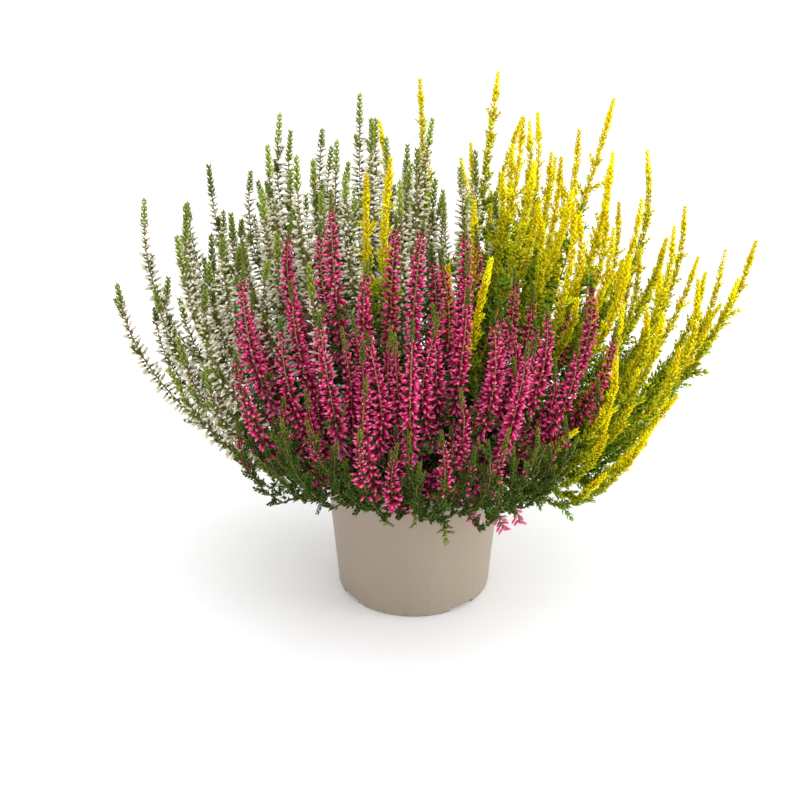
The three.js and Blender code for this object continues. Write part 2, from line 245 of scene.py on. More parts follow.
# Trailing shoots
TRAIL_CREST = 99.2
TRAIL_FOOT = 47.5
TRAIL_FORK = 50.2
TRAIL_CLIMB = 6.9
TRAIL_FORK_LENGTH = 11
TRAIL_FAN = 13.3
TRAIL_REACH = 84
TRAIL_REACH_MORE = 9
TRAIL_DROOP = 22
TRAIL_DROOP_LESS = 30
TRAIL_COUNT = 9
TRAIL_POINTS = 18
TRAIL_TWIG_STEP = 1.9
TRAIL_TWIG_LEAN = 50
TRAIL_TWIG_LENGTHS = (0.6, 1.0)
TRAIL_TAPER = 0.45
TRAIL_TWIG_YOUTH = 0.45
TRAIL_TWIGS_SPAN = (8, 3)
TRAIL_LEAVES_SPAN = (10, 2)
TRAIL_YOUTH = 0.75
FINE_TRAIL_LENGTHS = (0.4, 0.8)
TRAIL_LANES = (0, -1, 1)
FINE_LANES = (-0.5, 0.5, 1.5)
TRAIL_FIRST = -90

# Share of its length in the solids that each trailing shoot has: the ones at the left
# front barely reach over the rim
TRAIL_SHARES = (0.86, 0.85, 0.9, 1, 1, 1, 0.9, 0.4, 0.5)
FLOWERING_TRAIL = 1
TRAIL_BLOOM = 15
TRAIL_BLOOM_STEP = 0.9
TRAIL_BLOOM_LENGTHS = (0.8, 1.1)
TRAIL_BLOOM_LEAN = (45, 80)

# Leader of each bunch: heading in degrees, lean from upright in degrees, distance from
# the fan's point to the tip in millimetres, number of side shoots as in the solids, and
# number of fine shoots
BUNCHES = {
    "white": [
        (-177, 43, 272, 2, 4), (-157, 44, 233, 2, 4), (-163, 31, 285, 2, 4),
        (168, 36, 296, 2, 3), (-152, 15, 300, 2, 3), (170, 18, 294, 2, 3),
        (144, 20, 304, 2, 3), (152, 31, 292, 2, 3), (147, 41, 280, 1, 3),
        (125, 40, 275, 1, 3), (104, 41, 265, 1, 2), (83, 41, 262, 1, 2),
        (126, 28, 294, 1, 3), (103, 27, 292, 1, 3), (120, 13, 306, 1, 3),
        (170, 5, 297, 1, 3), (75, 9, 290, 1, 3),
    ],
    "magenta": [
        (-138, 43, 206, 2, 7), (-120, 42, 226, 2, 5), (-102, 42, 226, 2, 3),
        (-85, 41, 222, 2, 3), (-68, 41, 216, 2, 3), (-51, 40, 205, 2, 4),
        (-136, 29, 278, 2, 7), (-113, 31, 267, 2, 5), (-91, 30, 266, 2, 4),
        (-71, 29, 260, 2, 4), (-50, 28, 246, 2, 4), (-28, 28, 247, 2, 4),
        (-124, 17, 294, 2, 6), (-87, 17, 277, 2, 4), (-55, 11, 257, 2, 4),
    ],
    "yellow": [
        (-33, 51, 212, 2, 4), (-17, 51, 220, 2, 5), (2, 44, 308, 2, 5),
        (20, 40, 292, 2, 5), (39, 41, 275, 1, 3), (60, 42, 265, 1, 3),
        (-27, 38, 262, 2, 4), (-7, 33, 287, 2, 5), (30, 27, 327, 2, 3),
        (8, 24, 300, 2, 4), (58, 28, 300, 1, 2), (-24, 15, 293, 2, 4),
        (53, 16, 321, 1, 2), (15, 13, 303, 1, 3), (88, 16, 312, 0, 2),
        (-106, 10, 296, 0, 1),
    ],
}

# Material slots of a plant piece
BARK, LEAF, PETAL = range(3)

# Camera and studio
CAMERA_PLACE = (-9.5, -900.0, 604.9)
CAMERA_PITCH = 27.5
CAMERA_LENS = 69.7
FLOOR_SIZE = 12000

# Lamps: place and aim in metres, size, and power
LAMPS = {
    "key": ((2.4, -0.3, 1.5), (0, 0, 0.15), 2.4, 20),
    "top": ((0, -0.3, 2.4), (0, 0, 0.15), 2.4, 18),
    "side": ((1.6, -0.2, 0.3), (0, 0, 0.08), 0.6, 8),
}


def linear(value):
    """An sRGB hex colour as linear red, green, blue and alpha."""
    channels = [((value >> shift) & 255) / 255 for shift in (16, 8, 0)]
    return tuple(c / 12.92 if c <= 0.04045 else ((c + 0.055) / 1.055) ** 2.4 for c in channels) + (1.0,)


def colour_property(name, description, value):
    return bpy.props.FloatVectorProperty(
        name=name, description=description, subtype="COLOR", size=4, min=0, max=1,
        default=linear(value),
    )


def size_property(name, description, value):
    return bpy.props.FloatProperty(
        name=name, description=description, unit="LENGTH", min=0, default=value * MM,
    )


class HeatherSizes(bpy.types.PropertyGroup):
    """Sizes of the parts that cover the stems."""

    white_bud_length: size_property("White bud", "Length of a white bud with its stalk", 7.5)
    white_bud_width: size_property("White bud width", "Width of a white bud", 2.15)
    magenta_bud_length: size_property("Magenta bud", "Length of a magenta bud with its stalk", 6.4)
    magenta_bud_width: size_property("Magenta bud width", "Width of a magenta bud", 1.95)
    white_bud_step: size_property("White bud step", "Distance along the stem from bud to bud", 0.93)
    magenta_bud_step: size_property("Magenta bud step", "Distance along the stem from bud to bud", 0.74)
    leaf_length: size_property("Leaf", "Length of a scale leaf", 3.1)
    leaf_width: size_property("Leaf width", "Width of a scale leaf", 1.6)
    leaf_step: size_property("Leaf step", "Distance from whorl to whorl of scale leaves", 1.7)
    twig_step: size_property("Twig step", "Distance from twig to twig on a bare stem", 6.0)
    twig_length: size_property("Twig", "Length of a leafy twig", 14)
    spray_step: size_property("Spray step", "Distance from twig to twig on a yellow shoot", 3.35)
    spray_length: size_property("Spray", "Length of a twig on a yellow shoot", 9.5)
    sway: size_property("Sway", "How far a stem bends off its straight way", 3)


class HeatherColours(bpy.types.PropertyGroup):
    """Colours of every surface."""

    pot: colour_property("Pot", "Warm taupe plastic", 0x8F8273)
    compost: colour_property("Compost", "Moist dark peat", 0x2A1C13)
    fibre: colour_property("Fibre", "Dry bits in the peat", 0x5B4028)
    white_base: colour_property("White bud base", "Green calyx", 0x545C2C)
    white_middle: colour_property("White bud", "Cream white", 0xD0CCAC)
    white_end: colour_property("White bud end", "Nearly pure white", 0xEEECDA)
    # A magenta bud's dark base is partly its crimson calyx and partly painted shade near the stem; its pale
    # end is partly the real pale tip and partly a painted highlight.
    magenta_base_and_shade: colour_property("Magenta bud base", "Deep crimson calyx", 0x520A24)
    magenta_middle: colour_property("Magenta bud", "Strong pink red", 0xD0085E)
    magenta_end_and_highlight: colour_property("Magenta bud end", "Pale pink", 0xF292B8)
    white_leaf: colour_property("Leaf of the white plant", "Fresh green", 0x9AAE44)
    white_leaf_low: colour_property("Low leaf of the white plant", "Mid green", 0x647832)
    magenta_leaf: colour_property("Leaf of the magenta plant", "Olive green", 0x7F8C2C)
    magenta_leaf_low: colour_property("Low leaf of the magenta plant", "Dark green", 0x34561A)
    # The yellow plant's green low colour is partly the real green of the lower leaves and partly painted
    # shade on the lower, inner leaves
    yellow_leaf: colour_property("Leaf of the yellow plant", "Bright yellow", 0xFFF000)
    yellow_leaf_low: colour_property("Low leaf of the yellow plant", "Fresh green", 0x749A1E)
    # The trailing shoots' dark green low colour is partly painted shade deep in the skirt, and their light
    # tips partly painted light
    trail_leaf: colour_property("Tip of a trailing shoot", "Yellow green", 0xA2B03A)
    trail_leaf_low: colour_property("Trailing shoot", "Dark green", 0x2E5216)
    bark: colour_property("Bark", "Light brown young wood", 0x9A7C4C)
    yellow_bark: colour_property("Bark of the yellow plant", "Orange young wood", 0xCFA21C)
    green_bark: colour_property("Bark of the trailing shoots", "Green young wood", 0x5A5A2A)
    old_bark: colour_property("Old bark", "Dark brown old wood", 0x4A3526)
    floor: colour_property("Floor", "Pale studio floor", 0xF1F1F2)


def add_node(tree, kind, settings=(), inputs=()):
    """Adds a node with its settings, and sets or links its inputs, by name or by number."""
    node = tree.nodes.new(kind)
    for name, value in dict(settings).items():
        setattr(node, name, value)
    for key, value in dict(inputs).items():
        if isinstance(value, bpy.types.NodeSocket):
            tree.links.new(value, node.inputs[key])
        else:
            node.inputs[key].default_value = value
    return node


def start_material(name, roughness, specular=0.5):
    """A new material and its shader, whose plain values stand on the shader's own sockets."""
    material = bpy.data.materials.new(name)
    material.use_nodes = True
    shader = material.node_tree.nodes["Principled BSDF"]
    shader.inputs["Roughness"].default_value = roughness
    shader.inputs["Specular IOR Level"].default_value = specular
    return material, material.node_tree, shader


def growth_parts(tree):
    """Sockets of the growth attribute: the way along a bud or twig from its foot to its
    end, a number of its own for each bud or leaf, and the way up the shoot."""
    growth = add_node(tree, "ShaderNodeAttribute", {"attribute_name": "growth"})
    parts = add_node(tree, "ShaderNodeSeparateColor", {}, {"Color": growth.outputs["Color"]})
    return parts.outputs["Red"], parts.outputs["Green"], parts.outputs["Blue"]


def petal_material(name, base, middle, end, spread, foot):
    """Papery heather buds: satin, green or crimson at the foot and palest at the end, each
    bud a little darker or lighter than the next, and the oldest ones, lowest down, faded.
    On a magenta bud the dark crimson foot is partly painted shade near the stem, and the
    pale end partly a painted highlight."""
    material, tree, shader = start_material(name, 0.6, 0.12)
    along, own, height = growth_parts(tree)
    # Dark foot to the bud's colour: on magenta buds partly painted shade near the stem
    past_foot = add_node(tree, "ShaderNodeMapRange", {"interpolation_type": "SMOOTHSTEP"}, {
        "Value": along, "From Min": foot * 0.6, "From Max": foot,
    })
    # Pale end: on magenta buds partly a painted highlight
    ended = add_node(tree, "ShaderNodeMapRange", {"interpolation_type": "SMOOTHSTEP"}, {
        "Value": along, "From Min": 0.55, "From Max": 1.1,
    })
    lower = add_node(tree, "ShaderNodeMix", {"data_type": "RGBA"}, {
        0: past_foot.outputs[0], 6: base, 7: middle,
    })
    upper = add_node(tree, "ShaderNodeMix", {"data_type": "RGBA"}, {
        0: ended.outputs[0], 6: lower.outputs[2], 7: end,
    })
    brightness = add_node(tree, "ShaderNodeMapRange", {}, {
        "Value": own, "To Min": 1 - spread, "To Max": 1 + 0.4 * spread,
    })
    faded = add_node(tree, "ShaderNodeMapRange", {"interpolation_type": "SMOOTHSTEP"}, {
        "Value": height, "From Max": 0.35, "To Min": 0.4, "To Max": 0.0,
    })
    paler = add_node(tree, "ShaderNodeMix", {"data_type": "RGBA"}, {
        0: faded.outputs[0], 6: upper.outputs[2], 7: end,
    })
    varied = add_node(tree, "ShaderNodeHueSaturation", {}, {
        "Value": brightness.outputs[0], "Color": paler.outputs[2],
    })
    tree.links.new(varied.outputs[0], shader.inputs["Base Color"])
    return material


def leaf_material(name, low, high, spread, turning=0.35, low_until=0.15, high_from=1.0):
    """Small fleshy scale leaves with a waxy skin: lighter towards the end of the twig and
    towards the top of the shoot, partly as young growth and partly as painted light; the
    low colour on the lower, inner leaves is partly painted shade."""
    material, tree, shader = start_material(name, 0.65, 0.12)
    along, own, height = growth_parts(tree)
    # Young growth and painted light together: twig ends and shoot tops get the light colour, and the lower,
    # inner leaves the low colour, which is partly painted shade
    lit = add_node(tree, "ShaderNodeMath", {"operation": "MULTIPLY_ADD"}, {
        0: along, 1: turning, 2: height,
    })
    fresh_and_lit = add_node(tree, "ShaderNodeMapRange", {"interpolation_type": "SMOOTHSTEP"}, {
        "Value": lit.outputs[0], "From Min": low_until, "From Max": high_from,
    })
    mixed = add_node(tree, "ShaderNodeMix", {"data_type": "RGBA"}, {
        0: fresh_and_lit.outputs[0], 6: low, 7: high,
    })
    brightness = add_node(tree, "ShaderNodeMapRange", {}, {
        "Value": own, "To Min": 1 - spread, "To Max": 1 + 0.5 * spread,
    })
    warmth = add_node(tree, "ShaderNodeMapRange", {}, {
        "Value": own, "To Min": 0.482, "To Max": 0.508,
    })
    varied = add_node(tree, "ShaderNodeHueSaturation", {}, {
        "Hue": warmth.outputs[0], "Value": brightness.outputs[0], "Color": mixed.outputs[2],
    })
    tree.links.new(varied.outputs[0], shader.inputs["Base Color"])
    return material


def bark_material(name, young, old):
    """Thin woody stems: dull bark, streaked along its length, darker near the ground."""
    material, tree, shader = start_material(name, 0.85, 0.3)
    _, _, height = growth_parts(tree)
    place = add_node(tree, "ShaderNodeTexCoord")
    streak = add_node(tree, "ShaderNodeTexNoise", {}, {
        "Vector": place.outputs["Object"], "Scale": 350.0, "Detail": 2.0,
    })
    aged = add_node(tree, "ShaderNodeMath", {"operation": "MULTIPLY_ADD", "use_clamp": True}, {
        0: streak.outputs["Fac"], 1: 0.5, 2: height,
    })
    mixed = add_node(tree, "ShaderNodeMix", {"data_type": "RGBA"}, {
        0: aged.outputs[0], 6: old, 7: young,
    })
    tree.links.new(mixed.outputs[2], shader.inputs["Base Color"])
    return material


def moulded_plastic(name, colour):
    """Thin matt polypropylene from a mould: very fine grain, hardly any gloss."""
    material, tree, shader = start_material(name, 0.55, 0.4)
    place = add_node(tree, "ShaderNodeTexCoord")
    cloud = add_node(tree, "ShaderNodeTexNoise", {}, {
        "Vector": place.outputs["Object"], "Scale": 25.0, "Detail": 3.0,
    })
    brightness = add_node(tree, "ShaderNodeMapRange", {}, {
        "Value": cloud.outputs["Fac"], "To Min": 0.96, "To Max": 1.04,
    })
    varied = add_node(tree, "ShaderNodeHueSaturation", {}, {
        "Value": brightness.outputs[0], "Color": colour,
    })
    # The real grain is about 0.1 mm and can't show, so it is drawn at about 0.7 mm.
    grain = add_node(tree, "ShaderNodeTexNoise", {}, {
        "Vector": place.outputs["Object"], "Scale": 1400.0, "Detail": 2.0,
    })
    bump = add_node(tree, "ShaderNodeBump", {}, {
        "Strength": 0.12, "Distance": 0.0001, "Height": grain.outputs["Fac"],
    })
    tree.links.new(varied.outputs[0], shader.inputs["Base Color"])
    tree.links.new(bump.outputs[0], shader.inputs["Normal"])
    return material


def peat(name, dark, fibre):
    """Moist peat with lighter dry fibres, rough at every scale."""
    material, tree, shader = start_material(name, 0.95, 0.2)
    place = add_node(tree, "ShaderNodeTexCoord")
    lumps = add_node(tree, "ShaderNodeTexNoise", {}, {
        "Vector": place.outputs["Object"], "Scale": 260.0, "Detail": 6.0,
    })
    dry = add_node(tree, "ShaderNodeMapRange", {}, {
        "Value": lumps.outputs["Fac"], "From Min": 0.52, "From Max": 0.72,
    })
    mixed = add_node(tree, "ShaderNodeMix", {"data_type": "RGBA"}, {
        0: dry.outputs[0], 6: dark, 7: fibre,
    })
    bump = add_node(tree, "ShaderNodeBump", {}, {
        "Strength": 0.7, "Distance": 0.0006, "Height": lumps.outputs["Fac"],
    })
    tree.links.new(mixed.outputs[2], shader.inputs["Base Color"])
    tree.links.new(bump.outputs[0], shader.inputs["Normal"])
    return material


def floor_paint(name, colour):
    """Plain matt studio paint with a barely visible mottling."""
    material, tree, shader = start_material(name, 0.9, 0.2)
    place = add_node(tree, "ShaderNodeTexCoord")
    mottle = add_node(tree, "ShaderNodeTexNoise", {}, {
        "Vector": place.outputs["Object"], "Scale": 3.0,
    })
    brightness = add_node(tree, "ShaderNodeMapRange", {}, {
        "Value": mottle.outputs["Fac"], "To Min": 0.995, "To Max": 1.005,
    })
    varied = add_node(tree, "ShaderNodeHueSaturation", {}, {
        "Value": brightness.outputs[0], "Color": colour,
    })
    tree.links.new(varied.outputs[0], shader.inputs["Base Color"])
    return material


def plant_materials(plant, colours):
    """Bark, leaf and petal of one plant, in the order of the material slots."""
    young = {"yellow": colours.yellow_bark, "trailing": colours.green_bark}.get(plant, colours.bark)
    bark = bark_material(f"{plant} heather bark", young, colours.old_bark)
    if plant == "white":
        leaf = leaf_material("white heather leaf", colours.white_leaf_low, colours.white_leaf, 0.3)
        petal = petal_material("white heather petal", colours.white_base, colours.white_middle,
                               colours.white_end, 0.14, 0.46)
        return [bark, leaf, petal]
    if plant == "magenta":
        leaf = leaf_material("magenta heather leaf", colours.magenta_leaf_low,
                             colours.magenta_leaf, 0.3)
        petal = petal_material("magenta heather petal", colours.magenta_base_and_shade,
                               colours.magenta_middle, colours.magenta_end_and_highlight, 0.4, 0.55)
        return [bark, leaf, petal]
    if plant == "yellow":
        leaf = leaf_material("yellow heather leaf", colours.yellow_leaf_low,
                             colours.yellow_leaf, 0.24, 0.28, 0.28, 1.05)
        return [bark, leaf]
    leaf = leaf_material("trailing heather leaf", colours.trail_leaf_low, colours.trail_leaf, 0.3)
    petal = petal_material("trailing heather petal", colours.magenta_base_and_shade,
                           colours.magenta_middle, colours.magenta_end_and_highlight, 0.3, 0.4)
    return [bark, leaf, petal]


def deselect():
    if bpy.context.object and bpy.context.object.mode == "EDIT":
        bpy.ops.object.mode_set(mode="OBJECT")
    bpy.ops.object.select_all(action="DESELECT")


def select_only(obj):
    deselect()
    obj.select_set(True)
    bpy.context.view_layer.objects.active = obj


def pick_points(obj, test):
    """Selects, in edit mode, the points whose place passes the test."""
    bpy.ops.mesh.select_mode(type="VERT")
    shape = bmesh.from_edit_mesh(obj.data)
    for point in shape.verts:
        point.select_set(bool(test(point.co)))
    shape.select_flush(True)
    bmesh.update_edit_mesh(obj.data)


def taken_shape(obj):
    """Points and triangles of a finished shape, whose object is then removed."""
    mesh = obj.data
    mesh.calc_loop_triangles()
    points = np.empty(len(mesh.vertices) * 3)
    mesh.vertices.foreach_get("co", points)
    corners = np.empty(len(mesh.loop_triangles) * 3, np.int32)
    mesh.loop_triangles.foreach_get("vertices", corners)
    bpy.data.objects.remove(obj)
    bpy.data.meshes.remove(mesh)
    return points.reshape(-1, 3), corners.reshape(-1, 3)


class Shape:
    """A small shape to be copied: its foot is at the origin, it is one unit long and one
    unit wide, and it has a value from 0 at its foot to 1 at its end for each point."""

    def __init__(self, points, triangles, along=None):
        self.points = points
        self.triangles = triangles
        self.along = points[:, 2] if along is None else along


def bud_shape(widest):
    """A bud that is pointed at both ends and widest at the given share of its length."""
    bpy.ops.mesh.primitive_uv_sphere_add(segments=4, ring_count=2, radius=0.5)
    obj = bpy.context.object
    bpy.ops.object.mode_set(mode="EDIT")
    pick_points(obj, lambda p: True)
    bpy.ops.transform.translate(value=(0, 0, 0.5))
    pick_points(obj, lambda p: 0.4 < p.z < 0.6)
    bpy.ops.transform.translate(value=(0, 0, widest - 0.5))
    bpy.ops.object.mode_set(mode="OBJECT")
    return Shape(*taken_shape(obj))


def leaf_shape():
    """A scale leaf with a keel on its back: a narrow foot, two shoulders and a pointed end."""
    bpy.ops.mesh.primitive_cone_add(
        vertices=3, radius1=0.5, radius2=0, depth=1, end_fill_type="NGON",
        location=(0, 0, 0.5),
    )
    obj = bpy.context.object
    bpy.ops.object.transform_apply(location=True, rotation=True, scale=True)
    bpy.ops.object.mode_set(mode="EDIT")
    pick_points(obj, lambda p: p.z < 0.1 and abs(p.x) > 0.1)
    bpy.ops.transform.resize(value=(1.155, 1, 1), center_override=(0, 0, 0))
    bpy.ops.transform.translate(value=(0, 0, 0.42))
    pick_points(obj, lambda p: p.z < 0.1)
    bpy.ops.transform.translate(value=(0, -0.5, 0))
    bpy.ops.object.mode_set(mode="OBJECT")
    return Shape(*taken_shape(obj))


def twig_shape(leaf, whorls, leaves, leaf_length, leaf_width, lean):
    """A leafy twig: whorls of scale leaves on a thin core, each turned into the gaps of
    the one below, smaller towards the end."""
    growth = Growth()
    number = np.arange(whorls * leaves)
    whorl = number // leaves
    share = whorl / whorls
    turn = (number % leaves) * 2 * math.pi / leaves + whorl * math.pi / leaves
    out = np.stack([np.cos(turn), np.sin(turn), np.zeros(len(turn))], -1)
    tilt = np.radians(lean * (1 - TWIG_CLOSING * share))[:, None]
    direction = UP * np.cos(tilt) + out * np.sin(tilt)
    size = 1 - TWIG_TAPER * share
    foot = UP * (share * (1 - 0.7 * leaf_length))[:, None]
    growth.add(leaf, LEAF, foot, direction, out, leaf_length * size, leaf_width * size, share, share)
    core = np.zeros((1, 3))
    growth.add(leaf, LEAF, core, UP[None], np.array([[1.0, 0, 0]]), 0.9, 0.5 * leaf_width, 0, 0)
    points, triangles, _, values = growth.gathered()
    return Shape(points, triangles, 0.45 * values[:, 0] + 0.55 * values[:, 2])


def across(vectors):
    """Unit vectors of the given directions."""
    return vectors / np.maximum(np.linalg.norm(vectors, axis=-1, keepdims=True), 1e-9)


class Growth:
    """The copies of small shapes that make up one piece."""

    def __init__(self):
        self.parts = []

    def add(self, shape, slot, feet, directions, outs, lengths, widths, own, height):
        """Adds a copy of the shape at each foot, along its direction, with its back to
        the side that outs names."""
        count = len(feet)
        directions = across(directions)
        wide = across(np.cross(directions, outs))
        deep = np.cross(directions, wide)
        lengths = np.broadcast_to(lengths, count)[:, None, None]
        widths = np.broadcast_to(widths, count)[:, None, None]
        x, y, z = (shape.points[None, :, i, None] for i in range(3))
        placed = (x * wide[:, None] + y * deep[:, None]) * widths + z * directions[:, None] * lengths
        placed += feet[:, None]
        corners = shape.triangles[None] + np.arange(count)[:, None, None] * len(shape.points)
        values = np.ones((count, len(shape.points), 4))
        values[..., 0] = shape.along
        values[..., 1] = np.broadcast_to(own, count)[:, None]
        values[..., 2] = np.broadcast_to(height, count)[:, None]
        self.parts.append((placed.reshape(-1, 3), corners.reshape(-1, 3), slot, values.reshape(-1, 4)))

    def add_mesh(self, points, triangles, slot, height):
        values = np.ones((len(points), 4))
        values[:, :2] = 0.5
        values[:, 2] = height
        self.parts.append((points, triangles, slot, values))

    def gathered(self):
        """All points, triangles, slots of the triangles and values of the points."""
        starts = np.cumsum([0] + [len(part[0]) for part in self.parts[:-1]])
        points = np.concatenate([part[0] for part in self.parts])
        triangles = np.concatenate([part[1] + start for part, start in zip(self.parts, starts)])
        slots = np.concatenate([np.full(len(part[1]), part[2]) for part in self.parts])
        values = np.concatenate([part[3] for part in self.parts])
        return points, triangles, slots, values

    def write(self, name, materials):
        """Writes all copies as the mesh of one new object."""
        points, triangles, slots, values = self.gathered()
        mesh = bpy.data.meshes.new(name)
        mesh.vertices.add(len(points))
        mesh.vertices.foreach_set("co", (points * MM).ravel())
        mesh.loops.add(triangles.size)
        mesh.loops.foreach_set("vertex_index", triangles.ravel().astype(np.int32))
        mesh.polygons.add(len(triangles))
        mesh.polygons.foreach_set("loop_start", np.arange(0, triangles.size, 3, dtype=np.int32))
        for material in materials:
            mesh.materials.append(material)
        mesh.polygons.foreach_set("material_index", slots.astype(np.int32))
        mesh.update(calc_edges=True)
        mesh.shade_smooth()
        growth = mesh.attributes.new("growth", "FLOAT_COLOR", "POINT")
        growth.data.foreach_set("color", values.ravel().astype(np.float32))
        obj = bpy.data.objects.new(name, mesh)
        bpy.context.scene.collection.objects.link(obj)
        return obj


class Line:
    """A stem's way: points at known distances, and the directions along it, to its side
    and to its front."""

    def __init__(self, distance, points, sway=(0, 0, 0)):
        self.distance = distance
        self.points = points
        self.turn_with_path()
        share = (distance - distance[0]) / (distance[-1] - distance[0])
        bow = np.sin(math.pi * share)[:, None]
        double_bow = np.sin(2 * math.pi * share)[:, None]
        self.points = points + (bow * sway[0] + double_bow * sway[2]) * self.side
        self.points += bow * sway[1] * self.front
        self.turn_with_path()

    def sag(self, depth):
        """Lets the line sag between its ends, most at two thirds of its length, the more
        the more it leans out."""
        share = (self.distance - self.distance[0]) / (self.distance[-1] - self.distance[0])
        level = across(self.points * (1, 1, 0))
        outer = across(level - np.sum(level * self.along, axis=1, keepdims=True) * self.along)
        lean = outwardness(self)
        depth *= lean * np.interp(lean, np.sin(np.radians(BOW_LEANS)), (1, LOWEST_BOW))
        self.points = self.points + depth * outer * (6.75 * share ** 2 * (1 - share))[:, None]
        self.turn_with_path()

    def turn_with_path(self):
        self.along = across(np.gradient(self.points, axis=0))
        side = np.cross(UP, self.points)
        side -= np.sum(side * self.along, axis=1, keepdims=True) * self.along
        self.side = across(side)
        self.front = np.cross(self.along, self.side)

    def at(self, where):
        """Point, direction along, side and front at each distance."""
        found = []
        for values in (self.points, self.along, self.side, self.front):
            found.append(np.stack([np.interp(where, self.distance, values[:, i]) for i in range(3)], -1))
        return found


def smooth_step(low, high, value):
    t = np.clip((value - low) / (high - low), 0, 1)
    return t * t * (3 - 2 * t)


def fan_lean(distance):
    """Widest lean in radians at a distance from the fan's point."""
    spread = FAN_SPREAD * smooth_step(SPREAD_FROM, SPREAD_TO, distance)
    rise = FAN_RISE * np.maximum(0, distance - SPREAD_TO)
    return np.radians(FAN_LEAN_AT_RIM + spread - rise)


def fan_points(places, distance):
    """Points of the fan: a place is the stem's share of the widest lean on its heading."""
    lean = np.hypot(places[..., 0], places[..., 1]) * fan_lean(distance)
    heading = np.arctan2(places[..., 1], places[..., 0])
    reach = distance * np.sin(lean)
    return np.stack([
        reach * np.cos(heading),
        reach * np.sin(heading),
        FAN_HEIGHT + distance * np.cos(lean),
    ], -1)


def fan_place(heading, lean, distance):
    share = math.radians(lean) / fan_lean(distance)
    angle = math.radians(heading)
    return np.array([share * math.cos(angle), share * math.sin(angle)])


def stem_at_height(place, height):
    """Distance along a stem, which is still straight there, at which it reaches a height."""
    lean = np.hypot(*place) * fan_lean(SOIL_TOP - FAN_HEIGHT)
    return (height - FAN_HEIGHT) / math.cos(lean)


def freest_place(leader, reach, widest, taken):
    """Place beside a leader, inside the fan, that is furthest from all places taken so far."""
    best = leader
    most_room = 0
    others = np.array(taken)
    for k in range(SIDE_DIRECTIONS):
        angle = (k + FIRST_DIRECTION) / SIDE_DIRECTIONS * 2 * math.pi
        place = leader + reach * np.array([math.cos(angle), math.sin(angle)])
        room = np.min(np.hypot(*(others - place).T))
        if np.hypot(*place) <= widest and room > most_room + LEAST_ROOM_GAIN:
            best = place
            most_room = room
    return best


def list_bunches():
    """All bunches with their shoots: place, distance to the tip, and distance to the fork
    beyond the compost's surface. The solids' shoots come first, then the fine ones."""
    bunches = []
    for plant, leaders in BUNCHES.items():
        for index, (heading, lean, distance, sides, fine) in enumerate(leaders):
            place = fan_place(heading, lean, distance)
            bunches.append({
                "plant": plant, "index": index, "place": place, "distance": distance,
                "sides": sides, "fine": fine, "shoots": [],
            })
    taken = [bunch["place"] for bunch in bunches]
    for side, length in enumerate(SIDE_LENGTHS):
        for bunch in bunches:
            if side < bunch["sides"]:
                add_shoot(bunch, SIDE_REACH, 1, length, SIDE_FORKS[side], taken)
    for fine, length in enumerate(FINE_LENGTHS):
        for bunch in bunches:
            if fine < bunch["fine"]:
                add_shoot(bunch, FINE_REACH[fine], FINE_WIDEST, length, FINE_FORKS[fine], taken)
    return bunches


def add_shoot(bunch, reach, widest, length, fork, taken):
    place = freest_place(bunch["place"], reach, widest, taken)
    taken.append(place)
    bunch["shoots"].append((place, bunch["distance"] * length, fork))


def bunch_lines(bunch, draw, sway):
    """The line of each shoot of a bunch, the leader first, with the stem's radius at its foot."""
    leader = bunch["place"]
    soil = stem_at_height(leader, SOIL_TOP)
    ways = [(leader, bunch["distance"], stem_at_height(leader, SOIL_TOP - HOLE_DEPTH), STEM_RADIUS)]
    for place, distance, fork in bunch["shoots"]:
        ways.append((place, distance, soil + fork, SIDE_STEM_RADIUS))
    lines = []
    for place, tip, start, radius in ways:
        distance = np.linspace(start, tip, int((tip - start) / LINE_STEP) + 2)
        away = np.clip((distance - start) / SIDE_FORK_LENGTH, 0, 1)[:, None]
        places = leader + (place - leader) * away
        line = Line(distance, fan_points(places, distance), draw.normal(0, sway, 3))
        line.sag(BOW * draw.uniform(*BOW_RANGE))
        lines.append((line, radius))
    return lines


def add_stems(growth, lines):
    """Bark of the stems: one bevelled curve for each line, made a mesh."""
    curve = bpy.data.curves.new("stems", "CURVE")
    curve.dimensions = "3D"
    curve.bevel_depth = 1
    curve.bevel_resolution = 0
    curve.use_fill_caps = True
    for line, radius in lines:
        points = line.points[line.distance < line.distance[-1] - STEM_END]
        count = len(points)
        spline = curve.splines.new("POLY")
        spline.points.add(count - 1)
        spline.points.foreach_set("co", np.c_[points, np.ones(count)].ravel())
        share = np.linspace(0, 1, count) ** STEM_TAPER
        spline.points.foreach_set("radius", radius + (TWIG_RADIUS - radius) * share)
    obj = bpy.data.objects.new("stems", curve)
    bpy.context.scene.collection.objects.link(obj)
    select_only(obj)
    bpy.ops.object.convert(target="MESH")
    points, triangles = taken_shape(bpy.context.object)
    height = np.clip((points[:, 2] - SOIL_TOP) / BARK_AGE_HEIGHT, 0, 1)
    growth.add_mesh(points, triangles, BARK, height)


def spots(line, start, end, step, draw, per_whorl=1):
    """Where small parts stand on a stem: their distances, points, directions along and
    outwards, and shares of the way. Whorls turn into each other's gaps."""
    count = max(1, int((end - start) / step))
    whorl = np.repeat(np.arange(count), per_whorl)
    where = start + (whorl + draw.uniform(0, STEP_STRAY, len(whorl))) * step
    if per_whorl == 1:
        turn = whorl * math.radians(GOLDEN_ANGLE)
    else:
        turn = whorl * math.pi / per_whorl
        turn += np.tile(np.arange(per_whorl), count) * 2 * math.pi / per_whorl
    turn = turn + draw.normal(0, TURN_STRAY, len(turn))
    point, along, side, front = line.at(where)
    out = side * np.cos(turn)[:, None] + front * np.sin(turn)[:, None]
    return where, point, along, out, (where - start) / (end - start)


def leaning(along, out, degrees):
    tilt = np.radians(degrees)[:, None]
    return along * np.cos(tilt) + out * np.sin(tilt)


